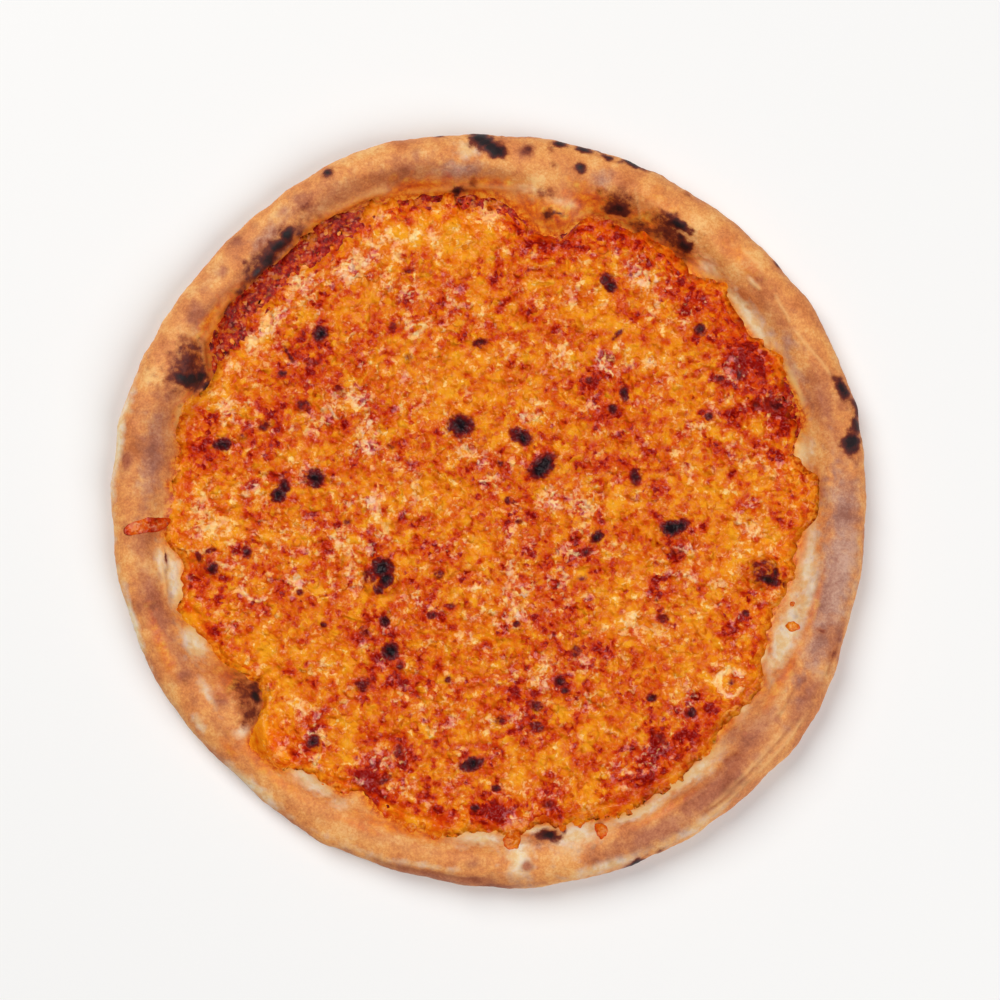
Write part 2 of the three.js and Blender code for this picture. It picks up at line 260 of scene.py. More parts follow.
# Skin that cheese oil ran over: golden, darker and shinier. Its colours are painted bright
# as well, painted light for the rim's shaded inner wall.
OILY_PATCHES = [
    (355, 133.4, 22, 7, 0.6), (53, 137, 30, 10, 0.9), (61, 138, 22, 12, 1.0),
    (70, 138, 24, 12, 1.0), (82, 129, 20, 12, 0.9), (77, 127, 26, 12, 1.0), (91, 138, 28, 6, 1.0),
    (103, 140.5, 32, 7, 1.0), (106, 147, 8, 4, 0.4), (146, 142.6, 22, 6, 1.0),
    (152.6, 136, 9, 15, 0.9), (160, 135, 16, 7, 0.9), (185, 135, 12, 4, 0.8),
    (229, 141, 28, 6, 0.7), (256, 141, 50, 5, 0.7), (248, 145.6, 20, 4, 0.5),
    (223, 150, 14, 4, 0.5), (230, 145.6, 40, 5, 0.5), (203, 150.5, 30, 5, 0.6),
    (328, 133, 10, 9, 0.6), (330, 144.6, 36, 4, 0.6), (342, 144.6, 30, 3, 0.5),
    (318, 136, 14, 6, 0.7), (301, 148.6, 30, 3.6, 0.5), (214, 131, 20, 16, 0.6),
    (44, 152, 24, 8, 0.45), (60, 150, 30, 9, 0.4), (79, 143, 10, 6, 0.2),
]

# Creases pressed into the rim, and lips raised on it: bearings from and to, radius at
# each end, width. Creases are also painted dark, a painted shade, and lips pale, a painted
# highlight.
CREASES = [
    (304, 314, 158.8, 158.0, 1.1), (313, 327, 157.6, 159.0, 1.1), (323, 331, 151.0, 151.2, 1.6),
    (188, 192, 137.2, 139.6, 1.3), (338.5, 341.3, 147.5, 153.5, 1.2),
    (333, 337.5, 159.5, 157.8, 1.4), (328, 330, 156, 160.5, 1.2), (250, 270, 155.4, 157.6, 1.2),
    (108, 124, 140.8, 141.6, 1.4), (124, 138, 141.6, 139.4, 1.4), (150, 156, 138.5, 131, 1.6),
    (60, 72, 134.6, 134.2, 1.6),
]
LIPS = [
    (20, 31, 156.6, 150.4, 1.5), (31, 37, 150.4, 153.0, 1.5), (40.6, 46, 154.6, 155.4, 1.4),
    (38.4, 41.4, 148.4, 148.2, 1.6), (106, 122, 142.8, 143.6, 2.6), (121, 131, 143.6, 139.4, 2.2),
    (129, 142, 139.4, 141.6, 2.0), (140, 151, 142.0, 140.8, 2.8), (149.6, 156.6, 141.4, 130.6, 2.2),
    (156, 164, 130.6, 138.8, 2.0), (304, 316, 160.2, 159.6, 1.4), (314, 327, 159.4, 160.8, 1.4),
    (84, 106, 136.8, 139.5, 2.2), (321, 325, 134.5, 133.5, 1.4), (61.8, 65.5, 138, 151, 1.4),
    (188, 196, 140.2, 141.8, 1.6), (305, 324, 157.2, 156.2, 1.3),
]


def gather(patches):
    """The strongest of several oval patches at each point of the skin."""
    cover = np.zeros(rim_shape)
    for bearing, out, along, across, strength in patches:
        cover = np.maximum(cover, strength * oval(bearing, out, along, across))
    return cover


def lines(strokes):
    """1 along each of several lines drawn on the skin, fading to 0 a line's width away."""
    cover = np.zeros(rim_shape)
    for start, stop, first, last, width in strokes:
        share = (columns - start) / (stop - start)
        path = first + (last - first) * share + 0.35 * np.sin(7 * share)
        ends = smoothstep(0, 0.15, share) * smoothstep(1, 0.85, share)
        stroke = np.exp(-((skin_radius - path) / (0.5 * width)) ** 2) * ends
        cover = np.maximum(cover, stroke)
    return cover


# Where the melted sheet stops: bearing, radius.
CHEESE_OUTLINE = [
    (0, 137.5), (2, 139), (5, 139), (8, 133), (10, 131), (12, 132), (15, 135), (20, 134.5),
    (23, 136), (26, 138.5), (28, 139), (30, 136.5), (33, 133), (37, 133.5), (40, 134.5),
    (44, 137.5), (46, 136), (48, 133), (50, 132), (52, 133.5), (55, 134), (58, 133), (60, 133),
    (65, 132), (70, 131), (72.5, 128), (74, 121), (76, 118), (80, 118), (82, 120), (85, 124),
    (88, 129), (91, 131), (95, 130), (98, 134.5), (101, 132), (105, 133), (108, 136), (110, 139),
    (112, 139.5), (114, 134), (118, 131), (122, 130), (126, 129), (130, 131), (135, 129),
    (140, 129.5), (145, 127.5), (148, 128), (151, 130), (154, 129), (157, 128.5), (159, 133),
    (161, 136.5), (163, 137.5), (165, 137), (168, 134), (170, 131), (172, 134.5), (174, 131.5),
    (176, 136.5), (178, 133), (180, 134.5), (182.5, 135), (185, 137), (186.5, 137), (188, 133),
    (190, 129.5), (192, 132.5), (194, 131), (196, 134), (199, 138.5), (202, 136), (204, 131.5),
    (206, 130), (209, 130), (212, 126), (215, 122.5), (218, 121), (221, 124), (222.5, 128),
    (223.7, 139), (225, 142), (228, 142.3), (231, 141), (233, 138), (234.5, 133.5), (237, 133),
    (240, 133.5), (243, 135), (245, 129.5), (247, 131), (250, 136), (253, 137), (255, 137),
    (256.5, 140), (258, 137), (261, 141), (263, 138), (266, 135.5), (270, 134.5), (272, 136),
    (274, 138), (276.5, 137), (278, 134), (280, 133), (282, 134), (283, 138), (284.2, 135),
    (286, 136), (288, 137), (289.5, 139), (291, 139.5), (294, 141), (297, 140.5), (300, 137.5),
    (302, 140), (305, 140.5), (307, 138), (309, 136), (311, 138), (313, 139.5), (315, 135),
    (318, 134), (321, 135.5), (323, 134), (325.5, 137), (328, 137.5), (329.5, 131), (332, 130),
    (334, 131), (336, 128), (340, 127), (343, 129), (347, 130.5), (350, 130), (353, 131),
    (356, 132), (358, 137),
]
# Where the sauce stops: bearing, radius.
SAUCE_OUTLINE = [
    (0, 130), (8, 129), (13, 136), (15, 138.8), (20, 139.3), (25, 139), (28, 137), (31, 131),
    (40, 131), (45, 133), (50, 131), (56, 133.5), (60, 134.5), (65, 134), (70, 133), (73, 127),
    (75.5, 121), (78, 119.5), (80.5, 121), (84, 127), (87, 132.5), (90, 134.5), (95, 135.5),
    (100, 137), (104, 137.5), (108, 139), (113, 141), (120, 142), (125, 141), (130, 138.8),
    (135, 140), (140, 141), (145, 140), (149, 139.5), (151.5, 135.5), (154, 131), (157, 129.5),
    (160, 130), (170, 128), (180, 131), (190, 127), (200, 129), (207, 127), (212, 124), (217, 120),
    (221, 124), (225, 129), (235, 130), (243, 127), (246, 131), (249, 135), (254, 134), (260, 131),
    (270, 132), (280, 131), (290, 135), (297, 137), (302, 134), (310, 131), (320, 129), (330, 126),
    (345, 127), (355, 128),
]


def outline_at(places, outline, degrees):
    """A measured outline at many bearings, its corners rounded off."""
    known, reach_there = np.array(outline).T
    fine_places = np.linspace(0, 360, 1440, endpoint=False)
    table = np.interp(fine_places, known, reach_there, period=360)
    return np.interp(places, fine_places, smooth_around(table[None], degrees)[0], period=360)


# The topping's oil stained the dough for a few millimetres outside it, and its colour is
# painted bright too: painted light for the rim's shaded inner wall.
topping_edge = np.maximum(outline_at(columns, CHEESE_OUTLINE, 0.6),
                          outline_at(columns, SAUCE_OUTLINE, 0.6))
browned_spots = gather(BROWN_SPOTS)
rim_fields = {
    "browned": np.maximum(gather(BROWN_PATCHES), browned_spots),
    "charred": gather(BLACK_BLISTERS), "pale": gather(PALE_PATCHES),
    "oily": gather(OILY_PATCHES), "greyed": gather(GREY_PATCHES),
    "crease": lines(CREASES), "lip": lines(LIPS),
    "stained": 0.5 ** (np.maximum(skin_radius - topping_edge, 0) / STAIN_REACH) ** 2}

# Relief of the skin in mm: lumps, fine wrinkles, and each mark raised or sunk a little.
shown = smoothstep(1.0, 5.0, rim_height)          # the resting face stays flat
lumps = 0.30 * mottle(rim_shape, rim_cell, 12, 45, 12)
wrinkles = 0.07 * mottle(rim_shape, rim_cell, 2.4, 9, 13)
relief = shown * (lumps + wrinkles + 0.6 * rim_fields["charred"] + 0.25 * browned_spots)
relief += shown * (0.50 * rim_fields["lip"] - 0.45 * rim_fields["crease"])

along_radius, along_height = np.gradient(rim_radius, axis=0), np.gradient(rim_height, axis=0)
step_length = np.hypot(along_radius, along_height)
rim_radius += relief * along_height / step_length
rim_height -= relief * along_radius / step_length

# The finished skin's height at any place over the rim's inner half.
inner_rows = slice(OUTSIDE_ROWS - 4, None)
wall_heights = np.array([
    np.interp(survey_radii, radii[::-1], heights[::-1])
    for radii, heights in zip(rim_radius[inner_rows].T, rim_height[inner_rows].T)])
wall_heights = np.vstack([wall_heights, wall_heights[:1]])


def between(table, row, column):
    """A table's values at places between its rows and columns."""
    i, j = row.astype(int), column.astype(int)
    u, v = row - i, column - j
    near = table[i, j] * (1 - v) + table[i, j + 1] * v
    far = table[i + 1, j] * (1 - v) + table[i + 1, j + 1] * v
    return near * (1 - u) + far * u


def dough_top(bearing, radius):
    turn = np.minimum(np.asarray(bearing) % 360 / 360 * COLUMNS, COLUMNS - 1e-9)
    step = (radius - survey_radii[0]) / (survey_radii[1] - survey_radii[0])
    turn, step = np.broadcast_arrays(turn, np.clip(step, 0, len(survey_radii) - 1.001))
    return between(wall_heights, turn, step)


def ring_faces(first, row_count, count):
    """Quads between rings of vertices that each close on themselves."""
    i, j = np.meshgrid(np.arange(row_count - 1), np.arange(count), indexing="ij")
    a, b = first + i * count + j, first + i * count + (j + 1) % count
    return np.stack([a, b, b + count, a + count], -1).reshape(-1, 4)


def fan(pole, first, count, flip=False):
    """Triangles from a pole to a ring of vertices that closes on itself."""
    ring = [(first + i, first + (i + 1) % count) for i in range(count)]
    return [[pole, b, a] if flip else [pole, a, b] for a, b in ring]


def make_piece(name, points, faces, fields):
    """A smooth mesh from points in mm, with one value per point for each named field."""
    mesh = bpy.data.meshes.new(name)
    mesh.from_pydata((np.asarray(points) * MM).tolist(), [], faces)
    mesh.validate()
    mesh.shade_smooth()
    for field, values in fields.items():
        mesh.attributes.new(field, "FLOAT", "POINT").data.foreach_set(
            "value", np.asarray(values, np.float32).ravel())
    piece = bpy.data.objects.new(name, mesh)
    bpy.context.scene.collection.objects.link(piece)
    return piece


def stand_in(piece, slot, *nodes):
    """Every piece rides on the one body, and the plain parts that it stands in for are hidden.
    The slot is not used.
    """
    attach(piece, "root")
    if nodes:
        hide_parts(*nodes)


FLAT_SHARES = (0.35, 0.7, 0.9, 0.97)              # coarse rings across the resting face
HIDDEN_SHARES = (0.85, 0.4)                       # and across the floor under the topping
under_radius = np.array([share * rim_radius[0] for share in FLAT_SHARES])
floor_radius = np.array([share * rim_radius[-1] for share in HIDDEN_SHARES])
floor_height = rim_height[-1].mean()
all_radius = np.vstack([under_radius, rim_radius, floor_radius])
all_height = np.vstack([np.zeros_like(under_radius), rim_height,
                        np.full_like(floor_radius, floor_height)])
crust_x, crust_y = polar(columns[None, :], all_radius)
crust_points = np.stack([crust_x, crust_y, all_height], -1).reshape(-1, 3)
crust_points = np.vstack([crust_points, [[0, 0, 0], [0, 0, floor_height]]])
crust_faces = ring_faces(0, len(all_radius), COLUMNS).tolist()
pole = len(crust_points) - 2
crust_faces += fan(pole, 0, COLUMNS, flip=True)
crust_faces += fan(pole + 1, (len(all_radius) - 1) * COLUMNS, COLUMNS)


def over_crust(field):
    """A rim field continued as 0 over the resting face and the hidden floor."""
    head = np.zeros((len(FLAT_SHARES), COLUMNS))
    tail = np.zeros((len(HIDDEN_SHARES), COLUMNS))
    return np.append(np.vstack([head, field, tail]).ravel(), [0, 0])


crust = make_piece("crust_dough", crust_points, crust_faces,
                   {name: over_crust(field) for name, field in rim_fields.items()})


def linear(hex_colour):
    """An sRGB hex colour as linear RGBA."""
    parts = [int(hex_colour[i:i + 2], 16) / 255 for i in (0, 2, 4)]
    return [p / 12.92 if p <= 0.04045 else ((p + 0.055) / 1.055) ** 2.4 for p in parts] + [1]


def add_node(tree, kind, settings, inputs=(), output=None):
    """One node with its settings, and each input given a value or linked to a socket.

    It gives back the named output, or else the first one in use.
    """
    node = tree.nodes.new(kind)
    for key, value in settings.items():
        if key == "stops":
            stops = node.color_ramp.elements
            while len(stops) < len(value):
                stops.new(1)
            for stop, (position, colour) in zip(stops, value):
                stop.position, stop.color = position, linear(colour)
        else:
            setattr(node, key, value)
    for key, value in inputs.items() if isinstance(inputs, dict) else enumerate(inputs):
        if isinstance(value, bpy.types.NodeSocket):
            tree.links.new(value, node.inputs[key])
        elif isinstance(value, str) and node.inputs[key].type == "RGBA":
            node.inputs[key].default_value = linear(value)
        else:
            node.inputs[key].default_value = value
    if output is not None:
        return node.outputs[output]
    return next((socket for socket in node.outputs if socket.enabled), None)


def add_up(tree, total, parts):
    """A total with several values added to it, each after a gain."""
    for value, gain in parts:
        total = add_node(tree, "ShaderNodeMath", {"operation": "MULTIPLY_ADD"}, [
            value, gain, total])
    return total


def product(tree, *shares):
    """Several shares multiplied together."""
    total = shares[0]
    for share in shares[1:]:
        total = add_node(tree, "ShaderNodeMath", {"operation": "MULTIPLY"}, [total, share])
    return total


def lay_coats(tree, colour, coats):
    """Coats of colour laid over one another: how much each one covers, and its colour."""
    for share, coat in coats:
        colour = add_node(tree, "ShaderNodeMix", {"data_type": "RGBA"}, {
            0: share, 6: colour, 7: coat})
    return colour


def start_material(name):
    material = bpy.data.materials.new(name)
    material.use_nodes = True
    material.node_tree.nodes.clear()
    return material, material.node_tree


# Baked wheat dough: a dry, matt skin with a little sheen where the starch has glazed, tan
# with pinker and paler clouds a centimetre or two across, pores of about a millimetre, and
# soot-black matt blisters. The underside is floury, with toasted spots off the oven stone.
baked_dough, tree = start_material("baked_wheat_dough")
place = add_node(tree, "ShaderNodeTexCoord", {}, output="Object")
patch = {name: add_node(tree, "ShaderNodeAttribute", {"attribute_name": name}, output="Fac")
         for name in rim_fields}

# Grain of the dough: width of its largest grains in mm, detail, roughness.
DOUGH_GRAIN = {
    "clouds": (16, 5, 0.62), "pores": (1.8, 3, 0.7), "flecks": (0.9, 2, 0.6),
    "border": (5.0, 4, 0.65), "soot": (2.6, 3, 0.7), "stone": (8, 4, 0.6)}
grain = {}
for name, (size, detail, roughness) in DOUGH_GRAIN.items():
    grain[name] = add_node(tree, "ShaderNodeTexNoise", {}, {
        "Vector": place, "Scale": 1000 / size, "Detail": detail, "Roughness": roughness})
grain["tan"] = add_up(tree, -0.41, [
    (grain["clouds"], 1.2), (grain["pores"], 0.38), (grain["flecks"], 0.24)])


def frayed(name, amount):
    """A stored patch with its border broken up."""
    shift = add_up(tree, -amount / 2, [(grain["border"], amount)])
    return add_node(tree, "ShaderNodeMath", {"operation": "ADD"}, [patch[name], shift])


# Skins over the tan: patch, where it starts, how much it covers, the grain that tints it.
DOUGH_SKINS = [
    ("pale", 0.15, 0.95, "border", [(0.38, "EAC48A"), (0.50, "EED4A8"), (0.62, "F0E0C8")]),
    ("browned", 0.06, 0.95, "tan", [(0.28, "8E4628"), (0.48, "AC6040"), (0.68, "C57C54")]),
    ("greyed", 0.06, 0.95, "tan", [(0.28, "905A4A"), (0.48, "AC7A68"), (0.68, "C89C88")]),
    # The oil's colours are also painted light, brightened for the shaded inner wall.
    ("oily", 0.15, 0.88, "border", [(0.34, "BC3206"), (0.46, "E46408"), (0.56, "F68E18"),
                                    (0.68, "FFBE48")]),
]
skins = []
for name, start, most, tint, stops in DOUGH_SKINS:
    share = add_node(tree, "ShaderNodeMapRange", {}, [frayed(name, 0.6), start, 0.80, 0.0, most])
    skins.append((share, add_node(tree, "ShaderNodeValToRGB", {"stops": stops}, [grain[tint]])))
pale_share = skins[0][0]

specks = add_node(tree, "ShaderNodeMapRange", {}, [grain["pores"], 0.64, 0.80, 0.0, 0.25])
# The oil stain, its colours painted bright as painted light on the shaded inner wall.
stain_and_light_share = product(
    tree, add_node(tree, "ShaderNodeMapRange", {}, [frayed("stained", 0.9), 0.20, 0.95, 0.0, 0.95]),
    add_up(tree, 1.0, [(patch["pale"], -0.35)]))
lit_stain = add_node(tree, "ShaderNodeValToRGB", {"stops": [
    (0.34, "B8300A"), (0.48, "E26808"), (0.62, "FAA430")]}, [grain["soot"]])
char_level = add_node(tree, "ShaderNodeMath", {"operation": "ADD"}, [frayed("charred", 0.3), -0.3])
char_level = add_up(tree, char_level, [(grain["soot"], 0.6)])
soot_share = add_node(tree, "ShaderNodeMapRange", {}, [char_level, 0.08, 0.42])
soot = add_node(tree, "ShaderNodeValToRGB", {"stops": [
    (0.10, "B8602E"), (0.32, "8C3A1A"), (0.54, "561C16"), (0.80, "1C0D12")]}, [char_level])
height = add_node(tree, "ShaderNodeSeparateXYZ", {}, [place], "Z")
under_share = add_node(tree, "ShaderNodeMapRange", {}, [height, 0.0035, 0.0005])
toasted = add_node(tree, "ShaderNodeValToRGB", {"stops": [
    (0.36, "E6D3AF"), (0.50, "D8AB75"), (0.60, "A2623A"), (0.70, "4B2619")]}, [grain["stone"]])
colour = add_node(tree, "ShaderNodeValToRGB", {"stops": [
    (0.26, "C06C38"), (0.42, "D88448"), (0.56, "E89C54"), (0.74, "F4BE78")]}, [grain["tan"]])
colour = lay_coats(tree, colour, skins + [
    (specks, "A85C33"),
    (stain_and_light_share, lay_coats(tree, lit_stain, [(pale_share, "EEB04A")])),
    # Painted highlight along the lips and painted shade in the creases.
    (product(tree, patch["lip"], 0.55), lay_coats(tree, "F2BC78", [(patch["stained"], "EE8A2A")])),
    (product(tree, patch["crease"], 0.45), "8E3E1C"),
    (soot_share, soot), (under_share, toasted)])

dough_bump = add_node(tree, "ShaderNodeBump", {}, {
    "Strength": 0.35, "Distance": 0.0006, "Height": grain["pores"]})
wet = add_node(tree, "ShaderNodeMapRange", {}, [char_level, 0.7, 1.0, 0.0, 0.3])
for name in ("stained", "oily"):
    wet = add_node(tree, "ShaderNodeMath", {"operation": "MAXIMUM"}, [patch[name], wet])
dough_gloss = add_node(tree, "ShaderNodeMapRange", {}, [wet, 0.2, 0.9, 0.60, 0.36])
dough_shader = add_node(tree, "ShaderNodeBsdfPrincipled", {}, {
    "Base Color": colour, "Roughness": dough_gloss, "IOR": 1.45, "Specular IOR Level": 0.38,
    "Subsurface Weight": 0.10, "Subsurface Radius": (1.0, 0.5, 0.25), "Subsurface Scale": 0.0015,
    "Normal": dough_bump})
add_node(tree, "ShaderNodeOutputMaterial", {}, [dough_shader])
crust.data.materials.append(baked_dough)
stand_in(crust, "crust", "crust")

# ----------------------------------------------------------------------- Tomato sauce
# Sieved tomatoes spread thin over the base. It shows where the cheese stopped short of
# the rim, and as a dark line along the topping's edge, and it is hidden everywhere else.

SAUCE_COLUMNS = 900
SAUCE_ROWS = 34
SAUCE_TOP = 5.2
SAUCE_DEPTH = 0.9
SAUCE_BAND = 34                  # width of the finely meshed band along its edge
SAUCE_HEM = 4                    # how far its underside starts inside that edge

sauce_bearings = np.linspace(0, 360, SAUCE_COLUMNS, endpoint=False)
sauce_shape = (SAUCE_ROWS, SAUCE_COLUMNS)
sauce_cell = (1.0, 0.9)
wander = mottle((8, SAUCE_COLUMNS), (1, 0.9), 5, 30, 21)[0]

sauce_reach = outline_at(sauce_bearings, SAUCE_OUTLINE, 0.8) + 0.35 * wander
sauce_shares = np.linspace(0, 1, SAUCE_ROWS)[:, None]
sauce_radius = sauce_reach[None, :] - SAUCE_BAND * (1 - sauce_shares)
pulp = 1.6 * mottle(sauce_shape, sauce_cell, 2.6, 7, 22)
sauce_bed = dough_top(sauce_bearings[None, :], sauce_radius)
rounding = np.sqrt(1 - sauce_shares ** 12)
sauce_height = np.maximum(SAUCE_TOP, sauce_bed + 0.5) + 0.25 * pulp
sauce_height = sauce_bed - 0.25 + (sauce_height - sauce_bed + 0.25) * rounding
sauce_x, sauce_y = polar(sauce_bearings[None, :], sauce_radius)
top_points = np.stack([sauce_x, sauce_y, sauce_height], -1).reshape(-1, 3)
hem_x, hem_y = polar(sauce_bearings, sauce_radius[-1] - SAUCE_HEM)
hem = np.stack([hem_x, hem_y, np.full(SAUCE_COLUMNS, SAUCE_TOP - SAUCE_DEPTH)], -1)
poles = [[0, 0, SAUCE_TOP - 0.2], [0, 0, SAUCE_TOP - SAUCE_DEPTH]]
sauce_points = np.vstack([top_points, hem, poles])
sauce_faces = ring_faces(0, SAUCE_ROWS, SAUCE_COLUMNS)[:, ::-1].tolist()
sauce_faces += ring_faces((SAUCE_ROWS - 1) * SAUCE_COLUMNS, 2, SAUCE_COLUMNS)[:, ::-1].tolist()
pole = len(sauce_points) - 2
sauce_faces += fan(pole, 0, SAUCE_COLUMNS)
sauce_faces += fan(pole + 1, SAUCE_ROWS * SAUCE_COLUMNS, SAUCE_COLUMNS, flip=True)
sauce = make_piece("sauce_layer", sauce_points, sauce_faces, {})

# Baked tomato sauce: a wet, seedless pulp, deep red and nearly black where it dried at the
# edge, with an oily shine broken up by pulp grains of one or two millimetres.
tomato, tree = start_material("baked_tomato_sauce")
place = add_node(tree, "ShaderNodeTexCoord", {}, output="Object")
SAUCE_GRAIN = {
    "pulp": (3.0, 4, 0.65), "oil": (4.6, 3, 0.6), "crumbs": (2.6, 1, 0.6), "drifts": (11, 1, 0.6)}
grain = {}
for name, (size, detail, roughness) in SAUCE_GRAIN.items():
    grain[name] = add_node(tree, "ShaderNodeTexNoise", {}, {
        "Vector": place, "Scale": 1000 / size, "Detail": detail, "Roughness": roughness})
oil_drops = add_node(tree, "ShaderNodeMapRange", {}, [grain["oil"], 0.54, 0.66, 0.0, 0.80])
cheese_crumbs = product(
    tree, add_node(tree, "ShaderNodeMapRange", {}, [grain["crumbs"], 0.58, 0.66]),
    add_node(tree, "ShaderNodeMapRange", {}, [grain["drifts"], 0.44, 0.60, 0.05, 0.65]))
colour = add_node(tree, "ShaderNodeValToRGB", {"stops": [
    (0.36, "640A08"), (0.46, "96100A"), (0.55, "B8280A"), (0.64, "D45412")]}, [grain["pulp"]])
colour = lay_coats(tree, colour, [(oil_drops, "DC7418"), (cheese_crumbs, "E88C66")])
pulp_bump = add_node(tree, "ShaderNodeBump", {}, {
    "Strength": 0.7, "Distance": 0.0014, "Height": grain["pulp"]})
tomato_shader = add_node(tree, "ShaderNodeBsdfPrincipled", {}, {
    "Base Color": colour, "Roughness": 0.26, "IOR": 1.4, "Specular IOR Level": 0.25,
    "Normal": pulp_bump})
add_node(tree, "ShaderNodeOutputMaterial", {}, [tomato_shader])
sauce.data.materials.append(tomato)
stand_in(sauce, "sauce", "tomato_sauce")

# ----------------------------------------------------------------------------- Cheese
# Four grated cheeses melted into one sheet. The fat separates and fries the surface, so
# it is froth: thousands of bubbles, browned on top, in a net of paler threads, with
# golden pools where it stayed smooth and black where a bubble touched the heat.

SQUARES = 308                    # mesh squares across the sheet, which is a warped square
HEM = 4.5                        # width over which the sheet thins to nothing at its edge
TUCKED = 2.7                     # how much of that lies under the dough's skin
HEM_DEPTH = 0.5                  # how deep it ends there
FILM = 0.25                      # thickness of the fat film outside the froth
FOOT = 0.7                       # thickness of the froth at its edge
SLOPE = 11.0                     # width over which the froth slopes down to its edge
CELL = 0.5                       # pitch of the working map of the sheet, mm
MAP = 600                        # its size, in cells
half_map = MAP * CELL / 2
map_shape, map_cell = (MAP, MAP), (CELL, CELL)
axis = (np.arange(MAP) + 0.5) * CELL - half_map
map_x, map_y = np.meshgrid(axis, axis)            # rows run along +Y
chance = np.random.default_rng(31)

# Golden pools, reddened areas and pale curds: x, y, radius, strength.
GOLDEN_POOLS = [
    (110, -20, 11, 0.45), (-85, 20, 9, 0.35), (-60, -80, 8, 0.4), (40, 60, 8, 0.35),
    (0, 120, 6, 0.3), (-20, -40, 8, 0.25), (-45, 113, 15, 0.7), (-22, 112, 15, 0.6),
    (-2, 113, 10, 0.5), (-72, 96, 14, 0.4), (0, 119, 10, 0.9), (-20, 120, 8, 0.6),
    (40, 117, 7, 0.6), (-40, -2, 10, 0.4), (40, 0, 9, 0.5), (58, -2, 8, 0.6), (0, -60, 8, 0.5),
    (-100, -60, 9, 0.8), (-4, -18, 9, 0.6), (80, 40, 8, 0.6), (-60, -20, 9, 0.3),
    (-120, -16, 8, 1.0), (100, -22, 10, 1.1), (118, -18, 8, 0.6), (-40, -40, 7, 1.1),
    (0, -40, 9, 0.5), (-62, -100, 9, 0.6), (-36, -88, 8, 0.5), (58, -98, 10, 0.8),
    (40, -82, 9, 1.0), (80, -76, 9, 0.5), (40, -118, 9, 0.9), (14, -116, 9, 0.5),
    (-20, -116, 9, 0.5), (98, 48, 6, 0.3), (-96, 62, 12, 1.0), (-96, 76, 9, 0.7),
    (-14, 52, 22, 0.8), (-36, 52, 14, 0.5), (12, 62, 14, 0.6), (32, 90, 12, 0.4), (54, 86, 12, 0.9),
    (-18, 101, 8, 0.6), (-60, 80, 8, 0.5), (70, 67, 14, 1.0), (-119, 4, 12, 0.7),
    (-116, -6, 12, 0.6), (-88, -10, 12, 0.6), (-44, 11, 11, 0.8), (-84, -64, 18, 0.8),
    (-94, -94, 13, 0.9), (-64, -66, 12, 0.4), (18, -112, 13, 0.7), (32, -96, 10, 0.3),
    (64, -38, 12, 1.0), (60, -52, 12, 0.6), (98, -70, 9, 0.4), (82, -58, 12, 1.0), (0, 82, 8, 0.5),
    (30, 42, 10, 0.6), (-82, 20, 8, 0.5), (74, 20, 16, 0.4), (106, 20, 16, 0.5), (86, -88, 10, 0.6),
    (122, 10, 10, 0.6), (-60, 30, 12, 0.1), (2, -28, 16, 0.3), (-20, -64, 14, 0.4),
    (96, 10, 14, 0.3), (-118, 50, 9, 0.7), (-110, -50, 12, 0.4), (-38, 117, 8, 0.5),
    (-14, 119, 8, 0.4), (-40, -38, 8, 0.5), (120, -40, 8, 0.6), (-122, -22, 8, 0.5),
    (-20, 0, 9, 0.4), (60, 0, 9, 0.5), (40, 120, 7, 0.5), (20, 100, 8, 0.4), (30, -100, 10, 0.4),
    (50, -102, 9, 0.4), (-40, -102, 8, 0.4),
]
